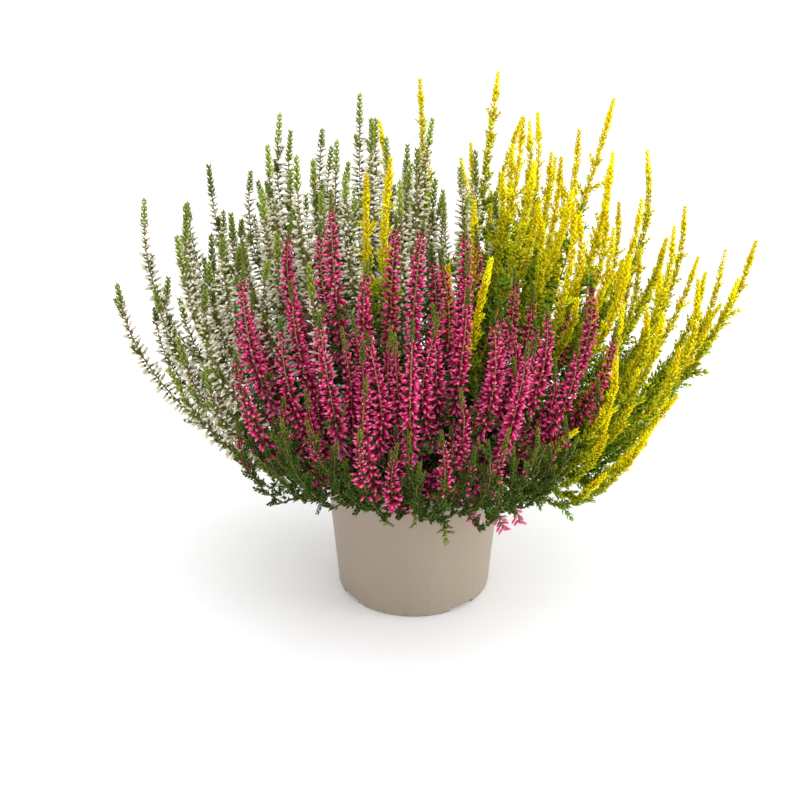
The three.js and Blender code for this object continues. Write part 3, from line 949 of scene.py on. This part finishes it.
def way_up(line, where):
    """Share of the way up the shoot, which the materials turn into young or old colours:
    partly painted light higher up and painted shade lower down.
    """
    return smooth_step(YOUNG_FROM, line.distance[-1], where)


def outwardness(line):
    """How far a shoot leans out, as the sine of its lean."""
    tip = line.points[-1]
    return math.hypot(tip[0], tip[1]) / np.linalg.norm(tip - FAN_HEIGHT * UP)


def flowering(plant, points, shift):
    """Share of flowers at each point: none where a shoot leans out over the rim."""
    if plant not in LEAFY_FROM:
        return np.zeros(len(points))
    lean = np.degrees(np.arctan2(np.hypot(points[:, 0], points[:, 1]), points[:, 2] - FAN_HEIGHT))
    start = LEAFY_FROM[plant] + shift
    return 1 - smooth_step(start, start + LEAFY_RANGE, lean)


def add_bud_spike(growth, line, shapes, plant, sizes, tip, shift, draw):
    """Buds all round the stem, small and upright near the tip and hanging lower down."""
    end = line.distance[-1] - tip
    start = max(BLOOM_NEAREST - BUDS_NEARER, end - BLOOM_LENGTH - BUDS_LOWER)
    step, length, width = (
        getattr(sizes, f"{plant}_bud_{name}") / MM for name in ("step", "length", "width")
    )
    where, point, along, out, share = spots(line, start, end, step, draw)
    chance = np.interp(share, *BUD_CHANCE) * flowering(plant, point, shift)
    kept = draw.random(len(where)) < chance
    where, point, along, out, share = (x[kept] for x in (where, point, along, out, share))
    count = len(where)
    lean = np.interp(share, *BUD_LEAN) + draw.normal(0, BUD_STRAY, count)
    direction = leaning(along, out, lean)
    direction[:, 2] -= np.interp(share, *BUD_HANG)
    size = np.interp(share, *BUD_SIZE) * draw.uniform(*BUD_SIZES, count)
    own = draw.random(count)
    growth.add(
        shapes[f"{plant} bud"], PETAL, point, direction, out, length * size, width * size, own, share,
    )
    bracts = draw.random(count) < BRACTS[plant]
    growth.add(
        shapes["leaf"], LEAF, point[bracts], leaning(along, out, lean - BRACT_CLOSER)[bracts],
        out[bracts], sizes.leaf_length / MM * BRACT_SIZE, sizes.leaf_width / MM * BRACT_SIZE,
        own[bracts], way_up(line, where)[bracts] * BRACT_YOUTH,
    )


def add_tip(growth, line, shape, length, width, fresh_and_lit, draw):
    """The leafy end of a shoot."""
    point, along, side, front = line.at(np.array([line.distance[-1] - length - TIP_FOOT]))
    turn = draw.uniform(0, math.pi)
    out = side * math.cos(turn) + front * math.sin(turn)
    growth.add(shape, LEAF, point, along, out, length + TIP_FOOT, width, draw.random(1), fresh_and_lit)


def add_sprigs(growth, line, shape, start, end, count, draw):
    """A few leafy side sprigs that stand close to the spike."""
    where = draw.uniform(start, end, count)
    point, along, side, front = line.at(where)
    turn = draw.uniform(0, 2 * math.pi, count)[:, None]
    out = side * np.cos(turn) + front * np.sin(turn)
    length = draw.uniform(*SPRIG_LENGTHS, count) * TIP_LENGTH["white"]
    direction = leaning(along, out, draw.uniform(*SPRIG_LEAN, count))
    growth.add(shape, LEAF, point, direction, out, length, TIP_WIDTH["white"] * SPRIG_WIDTH,
               draw.random(count), SPRIG_YOUTH + SPRIG_YOUTH_MORE * draw.random(count))


def add_leafy_spike(growth, line, shapes, sizes, draw):
    """Scale leaves all round a yellow shoot, and short leafy twigs in lumps along it."""
    tip = line.distance[-1]
    start = max(BLOOM_NEAREST - SPRAYS_NEARER, tip - TIP_LENGTH["yellow"] - BLOOM_LENGTH)
    fresh_and_lit = draw.uniform(*FRESHNESS_AND_LIGHT["yellow"])

    # The young, lit colour up the shoot, with partly painted shade lower down
    def youth_and_light(where, share):
        return way_up(line, where) ** YELLOWING * fresh_and_lit

    where, point, along, out, share = spots(line, start, tip - SPRAYS_END, sizes.spray_step / MM, draw)
    lump = 0.5 + 0.5 * np.sin(where * 2 * math.pi / LUMP_LENGTH + draw.uniform(0, 2 * math.pi))
    size = np.interp(share, *SPRAY_SIZE) * (LUMP_LEAST + LUMP_MORE * lump)
    size *= draw.uniform(*SPRAY_SIZES, len(where))
    lean = np.interp(share, *SPRAY_LEAN) + draw.normal(0, TWIG_STRAY, len(where))
    length = sizes.spray_length / MM * size
    growth.add(
        shapes["short twig"], LEAF, point, leaning(along, out, lean), out, length, length,
        draw.random(len(where)), youth_and_light(where, share),
    )
    add_scale_leaves(growth, line, shapes["leaf"], (start, tip - SPRAY_LEAVES_END),
                     sizes.leaf_step / MM, 3, SPRAY_LEAF_SIZE, sizes, youth_and_light, draw)


def add_scale_leaves(growth, line, leaf, span, step, per_whorl, size, sizes, youth_and_light, draw):
    """Whorls of scale leaves along a stretch of a stem."""
    where, point, along, out, share = spots(line, *span, step, draw, per_whorl)
    count = len(where)
    growth.add(
        leaf, LEAF, point, leaning(along, out, draw.uniform(*LEAF_LEAN, count)), out,
        sizes.leaf_length / MM * size * draw.uniform(*LEAF_LENGTHS, count),
        sizes.leaf_width / MM * size, draw.random(count), youth_and_light(where, share),
    )


def add_low_twigs(growth, line, shapes, plant, sizes, shift, draw):
    """Leafy twigs on the lower stem, between the compost and the spike, and further out
    on a shoot that leans over the rim. They are coarse where other shoots hide them."""
    start = max(line.distance[0] + TWIGS_ABOVE_FORK, SOIL_TOP - FAN_HEIGHT + TWIGS_ABOVE_SOIL)
    end = line.distance[-1] - TIP_LENGTH[plant]
    inner = outwardness(line) < INNER_SHOOT
    kind = INNER_TWIGS if inner else OUTER_TWIGS
    flowers_from = max(BLOOM_NEAREST + TWIGS_FURTHER, end - BLOOM_LENGTH + kind["overlap"])
    step = sizes.twig_step / MM * kind["step"]
    where, point, along, out, share = spots(line, start, end, step, draw)
    bare = draw.random(len(where)) > flowering(plant, point, shift)
    kept = (where < flowers_from) | bare if plant in LEAFY_FROM else where < flowers_from
    where, point, along, out, share = (x[kept] for x in (where, point, along, out, share))
    length = sizes.twig_length / MM * draw.uniform(*TWIG_LENGTHS, len(where)) * kind["length"]
    direction = leaning(along, out, TWIG_LEAN + draw.normal(0, TWIG_STRAY, len(where)))
    direction[:, 2] += kind["lift"]
    growth.add(
        shapes[kind["shape"]], LEAF, point, direction, out, length, length,
        draw.random(len(where)), TWIG_YOUTH * share,
    )
    if inner:
        return
    leafy = line.distance[-1] if min(flowering(plant, line.points, shift)) < 0.5 else flowers_from
    add_scale_leaves(growth, line, shapes["leaf"], (start, min(leafy, end)), OUTER_LEAF_STEP, 2,
                     OUTER_LEAF_SIZE, sizes, lambda where, share: TWIG_YOUTH * share, draw)


def small_shapes():
    """The shapes that are modelled once and copied all over the plant."""
    leaf = leaf_shape()
    shapes = {"leaf": leaf}
    for name, widest in BUD_WIDEST.items():
        shapes[name] = bud_shape(widest)
    for name, form in TWIGS.items():
        shapes[name] = twig_shape(leaf, *form)
    return shapes


def grow_bunches(plant):
    """One piece for each bunch of a plant, in the place of the solid bunch."""
    sizes = bpy.context.scene.heather_sizes
    materials = plant_materials(plant, bpy.context.scene.heather_colours)
    shapes = small_shapes()
    for order, bunch in enumerate(list_bunches()):
        if bunch["plant"] != plant:
            continue
        draw = np.random.default_rng([SEED, order])
        growth = Growth()
        lines = bunch_lines(bunch, draw, sizes.sway / MM * SWAYS[plant])
        add_stems(growth, lines)
        width = TIP_WIDTH[plant]
        for line, _ in lines:
            shift = draw.normal(0, LEAFY_SHIFT)
            add_low_twigs(growth, line, shapes, plant, sizes, shift, draw)
            if plant == "yellow":
                add_leafy_spike(growth, line, shapes, sizes, draw)
                add_tip(growth, line, shapes["fine tip"], TIP_LENGTH[plant], width, 1.0, draw)
                continue
            tip = TIP_LENGTH[plant] * draw.uniform(*TIP_RANGE)
            add_bud_spike(growth, line, shapes, plant, sizes, tip, shift, draw)
            add_tip(growth, line, shapes["tip"], tip, width, draw.uniform(*FRESHNESS_AND_LIGHT[plant]), draw)
            end = line.distance[-1] - tip
            add_sprigs(growth, line, shapes["tip"], end - SPRIGS_FROM, end - SPRIGS_TO, SPRIGS[plant], draw)
        number = bunch["index"] + 1
        obj = growth.write(f"{plant}_heather_{number}", materials)
        settle(obj, f"{plant}_bunch_{number}")


def settle(obj, node):
    """Puts a finished piece on the part's body, and hides the solid that it stands for."""
    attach(obj, "root")
    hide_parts(node)


def variation(number):
    """A number from 0 to 1 that differs from shoot to shoot."""
    return (number * GOLDEN_FRACTION) % 1


def trail_line(index, lane, length_share=1.0):
    """Way of one trailing shoot over the rim and down outside the pot."""
    shoot = len(TRAIL_LANES) * index + lane
    middle = TRAIL_FIRST + 360 / TRAIL_COUNT * index
    tip = TRAIL_REACH + TRAIL_REACH_MORE * variation(shoot)
    tip = POT_RIM_RADIUS + (tip - POT_RIM_RADIUS) * length_share * TRAIL_SHARES[index]
    droop = TRAIL_DROOP + TRAIL_DROOP_LESS * variation(shoot + TRAIL_COUNT)
    reach = np.linspace(TRAIL_FOOT if lane == 0 else TRAIL_FORK, tip, TRAIL_POINTS)
    away = np.clip((reach - TRAIL_FORK) / TRAIL_FORK_LENGTH, 0, 1)
    heading = np.radians(middle + lane * TRAIL_FAN * away)
    run = POT_RIM_RADIUS - reach
    drop = np.where(run > 0, run * run / TRAIL_CLIMB, run * run / droop)
    points = np.stack([reach * np.cos(heading), reach * np.sin(heading), TRAIL_CREST - drop], -1)
    steps = np.linalg.norm(np.diff(points, axis=0), axis=1)
    return Line(np.concatenate([[0], np.cumsum(steps)]), points)


def add_trailing_shoot(growth, line, shapes, sizes, draw):
    """A feathery shoot: scale leaves along the stem, and leafy twigs to both sides."""
    end = line.distance[-1]
    first, last = TRAIL_LEAVES_SPAN
    add_scale_leaves(growth, line, shapes["leaf"], (first, end - last), sizes.leaf_step / MM, 3, 1,
                     sizes, lambda where, share: TRAIL_YOUTH * share ** 3, draw)
    first, last = TRAIL_TWIGS_SPAN
    where, point, along, out, share = spots(line, first, end - last, TRAIL_TWIG_STEP, draw)
    length = sizes.twig_length / MM * draw.uniform(*TRAIL_TWIG_LENGTHS, len(where))
    length = length * (1 - TRAIL_TAPER * share)
    direction = leaning(along, out, TRAIL_TWIG_LEAN + draw.normal(0, TWIG_STRAY, len(where)))
    direction[:, 2] += TWIG_LIFT
    growth.add(
        shapes["cord twig"], LEAF, point, direction, out, length, length,
        draw.random(len(where)), TRAIL_TWIG_YOUTH * share * draw.random(len(where)),
    )


def add_end_flowers(growth, line, shapes, sizes, draw):
    """A few pale late flowers at the end of a trailing shoot."""
    end = line.distance[-1]
    where, point, along, out, _ = spots(line, end - TRAIL_BLOOM, end + 1, TRAIL_BLOOM_STEP, draw)
    length = sizes.magenta_bud_length / MM * draw.uniform(*TRAIL_BLOOM_LENGTHS, len(where))
    width = sizes.magenta_bud_width / MM
    direction = leaning(along, out, draw.uniform(*TRAIL_BLOOM_LEAN, len(where)))
    growth.add(shapes["magenta bud"], PETAL, point, direction, out, length, width,
               draw.random(len(where)), 0)


def ringed_body(rings, sides):
    """A turned body: a disc that is extruded and resized from ring to ring."""
    radius, height = rings[0]
    bpy.ops.mesh.primitive_circle_add(
        vertices=sides, radius=radius * MM, fill_type="NGON", location=(0, 0, height * MM),
    )
    obj = bpy.context.object
    bpy.ops.object.transform_apply(location=True, rotation=True, scale=True)
    bpy.ops.object.mode_set(mode="EDIT")
    bpy.ops.mesh.select_all(action="SELECT")
    for next_radius, next_height in rings[1:]:
        bpy.ops.mesh.extrude_region_move(
            TRANSFORM_OT_translate={"value": (0, 0, (next_height - height) * MM)},
        )
        grown = next_radius / radius
        bpy.ops.transform.resize(
            value=(grown, grown, 1), center_override=(0, 0, next_height * MM),
        )
        radius, height = next_radius, next_height
    bpy.ops.mesh.select_all(action="SELECT")
    bpy.ops.mesh.normals_make_consistent(inside=False)
    bpy.ops.object.mode_set(mode="OBJECT")
    return obj


def radial_bar(heading, start, width, low, high):
    """A bar on the floor plane, from near the middle of the base to past its edge."""
    length = POT_RIM_RADIUS - start
    middle = start + length / 2
    angle = math.radians(heading)
    bpy.ops.mesh.primitive_cube_add(
        size=1, location=(middle * math.cos(angle) * MM, middle * math.sin(angle) * MM,
                          (low + high) / 2 * MM),
        rotation=(0, 0, angle), scale=(length * MM, width * MM, (high - low) * MM),
    )
    bpy.ops.object.transform_apply(location=True, rotation=True, scale=True)
    return bpy.context.object


def radial_bars(headings, start, width, low, high):
    """One object of the bars on all headings."""
    return joined([radial_bar(heading, start, width, low, high) for heading in headings])


def joined(objects):
    deselect()
    for obj in objects:
        obj.select_set(True)
    bpy.context.view_layer.objects.active = objects[0]
    bpy.ops.object.join()
    return bpy.context.object


def cut(obj, cutter):
    """Cuts the cutter's shape out of an object, and removes the cutter."""
    select_only(obj)
    modifier = obj.modifiers.new("Cut", "BOOLEAN")
    modifier.operation = "DIFFERENCE"
    modifier.solver = "EXACT"
    modifier.object = cutter
    bpy.ops.object.modifier_apply(modifier=modifier.name)
    bpy.data.objects.remove(cutter)


def wall_radius(height):
    top = POT_RIM_RADIUS - LIP_STEP
    return POT_BASE_RADIUS + (top - POT_BASE_RADIUS) * height / POT_HEIGHT


def drain_holes():
    holes = []
    for heading in CHANNEL_HEADINGS:
        angle = math.radians(heading)
        bpy.ops.mesh.primitive_cylinder_add(
            vertices=DRAIN_SIDES, radius=DRAIN_RADIUS * MM, depth=DRAIN_LENGTH * MM,
            location=(DRAIN_PLACE * math.cos(angle) * MM, DRAIN_PLACE * math.sin(angle) * MM,
                      CHANNEL_HEIGHT * MM),
        )
        bpy.ops.object.transform_apply(location=True, rotation=True, scale=True)
        holes.append(bpy.context.object)
    return joined(holes)


def build_pot():
    """The pot as in the solids, with a round wall, small notches and soft edges."""
    lip_from = POT_HEIGHT - LIP_HEIGHT
    pot = ringed_body([
        (wall_radius(0) - BASE_CORNER, 0),
        (wall_radius(BASE_CORNER), BASE_CORNER),
        (wall_radius(lip_from), lip_from),
        (POT_RIM_RADIUS, lip_from + LIP_SLOPE),
        (POT_RIM_RADIUS, POT_HEIGHT),
    ], POT_SIDES)
    inside = ringed_body([
        (wall_radius(POT_WALL) - POT_WALL, POT_WALL),
        (wall_radius(POT_HEIGHT) - POT_WALL, POT_HEIGHT),
        (wall_radius(POT_HEIGHT) - POT_WALL, POT_HEIGHT + POT_WALL),
    ], POT_SIDES)
    roof_start = CHANNEL_START - POT_WALL
    roof_width = CHANNEL_WIDTH + 2 * POT_WALL
    roof_height = CHANNEL_HEIGHT + POT_WALL
    cut(inside, radial_bars(CHANNEL_HEADINGS, roof_start, roof_width, 0, roof_height))
    cut(inside, radial_bars(WIDE_HEADINGS, WIDE_START - POT_WALL, WIDE_WIDTH + 2 * POT_WALL, 0,
                            WIDE_HEIGHT + POT_WALL))
    cut(pot, inside)
    cut(pot, radial_bars(
        CHANNEL_HEADINGS, CHANNEL_START, CHANNEL_WIDTH, -POT_WALL, CHANNEL_HEIGHT))
    cut(pot, radial_bars(WIDE_HEADINGS, WIDE_START, WIDE_WIDTH, -POT_WALL, WIDE_HEIGHT))
    small = [heading + quarter for quarter in (0, 90, 180, 270) for heading in SMALL_HEADINGS]
    cut(pot, radial_bars(small, NOTCH_START, SMALL_WIDTH, -POT_WALL, SMALL_HEIGHT))
    cut(pot, drain_holes())
    select_only(pot)
    rounding = pot.modifiers.new("Rounding", "BEVEL")
    rounding.width = EDGE_ROUNDING * MM
    rounding.segments = 2
    rounding.limit_method = "ANGLE"
    rounding.angle_limit = math.radians(40)
    bpy.ops.object.modifier_apply(modifier=rounding.name)
    bpy.ops.object.shade_smooth_by_angle(angle=math.radians(35))
    pot.name = "taupe_pot"
    return pot


def build_compost():
    """The filling as in the solids, with a crumbly top and loose crumbs on it."""
    bottom = CHANNEL_HEIGHT + POT_WALL + FIT_GAP
    rings = [(wall_radius(bottom) - POT_WALL - FIT_GAP - 1, bottom)]
    edge = SOIL_TOP - SOIL_EDGE / 2
    side = wall_radius(SOIL_TOP) - POT_WALL - FIT_GAP
    rings.append((wall_radius(edge) - POT_WALL - FIT_GAP, edge))
    for k in range(SOIL_RINGS):
        rings.append(((side - SOIL_EDGE) * (1 - k / SOIL_RINGS), SOIL_TOP))
    compost = ringed_body(rings, SOIL_SIDES)
    grain = bpy.data.textures.new("crumb relief", "CLOUDS")
    grain.noise_scale = CRUMB_GRAIN * MM
    grain.noise_depth = 3
    select_only(compost)
    top = compost.vertex_groups.new(name="top")
    top.add([v.index for v in compost.data.vertices if v.co.z > (SOIL_TOP - 1) * MM], 1, "REPLACE")
    finer = compost.modifiers.new("Finer", "SUBSURF")
    finer.subdivision_type = "SIMPLE"
    finer.levels = finer.render_levels = 1
    relief = compost.modifiers.new("Relief", "DISPLACE")
    relief.texture = grain
    relief.texture_coords = "LOCAL"
    relief.direction = "Z"
    relief.strength = CRUMB_HEIGHT * MM
    relief.vertex_group = top.name
    bpy.ops.object.modifier_apply(modifier=finer.name)
    bpy.ops.object.modifier_apply(modifier=relief.name)
    bpy.ops.object.shade_smooth()
    whole = joined([compost, crumbs()])
    whole.name = "peat_compost"
    return whole


def crumbs():
    """Loose crumbs and bits of bark: one small stone shape, copied at many sizes."""
    bpy.ops.mesh.primitive_ico_sphere_add(subdivisions=1, radius=0.5)
    obj = bpy.context.object
    bpy.ops.object.mode_set(mode="EDIT")
    bpy.ops.mesh.select_all(action="SELECT")
    bpy.ops.transform.vertex_random(offset=CRUMB_ROUGHNESS, seed=SEED)
    bpy.ops.object.mode_set(mode="OBJECT")
    stone = Shape(*taken_shape(obj))
    draw = np.random.default_rng(SEED)
    reach = (wall_radius(SOIL_TOP) - 2 * SOIL_EDGE) * np.sqrt(draw.random(CRUMB_COUNT))
    heading = draw.uniform(0, 2 * math.pi, CRUMB_COUNT)
    feet = np.stack([reach * np.cos(heading), reach * np.sin(heading),
                     SOIL_TOP + draw.uniform(*CRUMB_LIFTS, CRUMB_COUNT)], -1)
    growth = Growth()
    directions = draw.normal(0, 1, (CRUMB_COUNT, 3))
    outs = draw.normal(0, 1, (CRUMB_COUNT, 3))
    length = draw.uniform(*CRUMB_SIZES, CRUMB_COUNT)
    growth.add(stone, 0, feet, directions, outs, length, length * CRUMB_WIDTH, 0, 0)
    return growth.write("crumbs", [])


class PotMaker(bpy.types.Operator):
    """Make the taupe plastic pot"""

    bl_idname = "heather.pot"
    bl_label = "Pot"

    def execute(self, context):
        pot = build_pot()
        pot.data.materials.clear()
        pot.data.materials.append(moulded_plastic("matt polypropylene", context.scene.heather_colours.pot))
        settle(pot, "pot")
        return {"FINISHED"}


class CompostMaker(bpy.types.Operator):
    """Make the compost that fills the pot"""

    bl_idname = "heather.compost"
    bl_label = "Compost"

    def execute(self, context):
        colours = context.scene.heather_colours
        compost = build_compost()
        compost.data.materials.clear()
        compost.data.materials.append(peat("moist peat", colours.compost, colours.fibre))
        settle(compost, "compost")
        return {"FINISHED"}


class WhiteBunchMaker(bpy.types.Operator):
    """Grow the bunches of white bud spikes"""

    bl_idname = "heather.white_bunches"
    bl_label = "White bunches"

    def execute(self, context):
        grow_bunches("white")
        return {"FINISHED"}


class MagentaBunchMaker(bpy.types.Operator):
    """Grow the bunches of magenta bud spikes"""

    bl_idname = "heather.magenta_bunches"
    bl_label = "Magenta bunches"

    def execute(self, context):
        grow_bunches("magenta")
        return {"FINISHED"}


class YellowBunchMaker(bpy.types.Operator):
    """Grow the bunches of yellow leafy spikes"""

    bl_idname = "heather.yellow_bunches"
    bl_label = "Yellow bunches"

    def execute(self, context):
        grow_bunches("yellow")
        return {"FINISHED"}


class TrailingShootMaker(bpy.types.Operator):
    """Grow the dark green shoots that hang over the rim"""

    bl_idname = "heather.trailing_shoots"
    bl_label = "Trailing shoots"

    def execute(self, context):
        sizes = context.scene.heather_sizes
        materials = plant_materials("trailing", context.scene.heather_colours)
        shapes = small_shapes()
        for index in range(TRAIL_COUNT):
            draw = np.random.default_rng([SEED, TRAIL_COUNT, index])
            lines = [trail_line(index, lane) for lane in TRAIL_LANES]
            lines += [trail_line(index, lane, draw.uniform(*FINE_TRAIL_LENGTHS)) for lane in FINE_LANES]
            growth = Growth()
            add_stems(growth, [(line, SIDE_STEM_RADIUS) for line in lines])
            for line in lines:
                add_trailing_shoot(growth, line, shapes, sizes, draw)
            if index == FLOWERING_TRAIL:
                for line in lines[:3]:
                    add_end_flowers(growth, line, shapes, sizes, draw)
            obj = growth.write(f"trailing_heather_{index + 1}", materials)
            settle(obj, f"trailing_shoots_{index + 1}")
        return {"FINISHED"}


def add_lamp(name, place, aim, size, power):
    """A round white lamp that faces its aim."""
    data = bpy.data.lights.new(name, "AREA")
    data.shape = "DISK"
    data.size = size
    data.energy = power
    lamp = bpy.data.objects.new(name, data)
    lamp.location = place
    way = np.array(aim) - np.array(place)
    pitch = math.atan2(math.hypot(way[0], way[1]), -way[2])
    lamp.rotation_euler = (pitch, 0, math.atan2(-way[0], way[1]))
    bpy.context.scene.collection.objects.link(lamp)


def studio_sky():
    """White walls of light all round, dimmer overhead and brighter on the right."""
    world = bpy.data.worlds.new("studio sky")
    world.use_nodes = True
    tree = world.node_tree
    place = add_node(tree, "ShaderNodeTexCoord")
    way = add_node(tree, "ShaderNodeSeparateXYZ", {}, {0: place.outputs["Generated"]})
    by_height = add_node(tree, "ShaderNodeMapRange", {}, {
        "Value": way.outputs["Z"], "From Max": 0.8, "To Min": 2.1, "To Max": 1.05,
    })
    by_side = add_node(tree, "ShaderNodeMapRange", {}, {
        "Value": way.outputs["X"], "From Min": -1.0, "To Min": 0.9, "To Max": 1.1,
    })
    strength = add_node(tree, "ShaderNodeMath", {"operation": "MULTIPLY"}, {
        0: by_height.outputs[0], 1: by_side.outputs[0],
    })
    background = tree.nodes["Background"]
    background.inputs["Color"].default_value = (1, 1, 1, 1)
    tree.links.new(strength.outputs[0], background.inputs["Strength"])
    return world


class StudioMaker(bpy.types.Operator):
    """Set up the floor, the soft lights, the sky and the camera"""

    bl_idname = "heather.studio"
    bl_label = "Studio"

    def execute(self, context):
        scene = context.scene
        deselect()
        bpy.ops.mesh.primitive_plane_add(size=FLOOR_SIZE * MM, location=(0, 0, 0))
        floor = context.object
        floor.name = "studio_floor"
        floor.data.materials.append(floor_paint("studio paint", scene.heather_colours.floor))
        for name, lamp in LAMPS.items():
            add_lamp(name, *lamp)
        scene.world = studio_sky()
        scene.view_settings.view_transform = "Standard"
        data = bpy.data.cameras.new("camera")
        data.lens = CAMERA_LENS
        data.clip_end = 50
        camera = bpy.data.objects.new("camera", data)
        camera.location = [x * MM for x in CAMERA_PLACE]
        camera.rotation_euler = (math.radians(90 - CAMERA_PITCH), 0, 0)
        scene.collection.objects.link(camera)
        scene.camera = camera
        return {"FINISHED"}


class HeatherPanel(bpy.types.Panel):
    """Lists the makers of the potted heather"""

    bl_idname = "VIEW3D_PT_heather"
    bl_label = "Potted Heather"
    bl_space_type = "VIEW_3D"
    bl_region_type = "UI"
    bl_category = "Heather"

    def draw(self, context):
        for maker in MAKERS:
            self.layout.operator(maker.bl_idname)
        for group in (context.scene.heather_sizes, context.scene.heather_colours):
            for name in group.__annotations__:
                self.layout.prop(group, name)


MAKERS = (
    StudioMaker, PotMaker, CompostMaker, WhiteBunchMaker, MagentaBunchMaker, YellowBunchMaker,
    TrailingShootMaker,
)
CLASSES = (HeatherSizes, HeatherColours, *MAKERS, HeatherPanel)


def register():
    for kind in CLASSES:
        bpy.utils.register_class(kind)
    bpy.types.Scene.heather_sizes = bpy.props.PointerProperty(type=HeatherSizes)
    bpy.types.Scene.heather_colours = bpy.props.PointerProperty(type=HeatherColours)


def unregister():
    del bpy.types.Scene.heather_colours
    del bpy.types.Scene.heather_sizes
    for kind in reversed(CLASSES):
        bpy.utils.unregister_class(kind)


def main():
    deselect()
    register()
    bpy.ops.heather.studio()
    bpy.ops.heather.pot()
    bpy.ops.heather.compost()
    bpy.ops.heather.white_bunches()
    bpy.ops.heather.magenta_bunches()
    bpy.ops.heather.yellow_bunches()
    bpy.ops.heather.trailing_shoots()


if __name__ == "__main__":
    main()
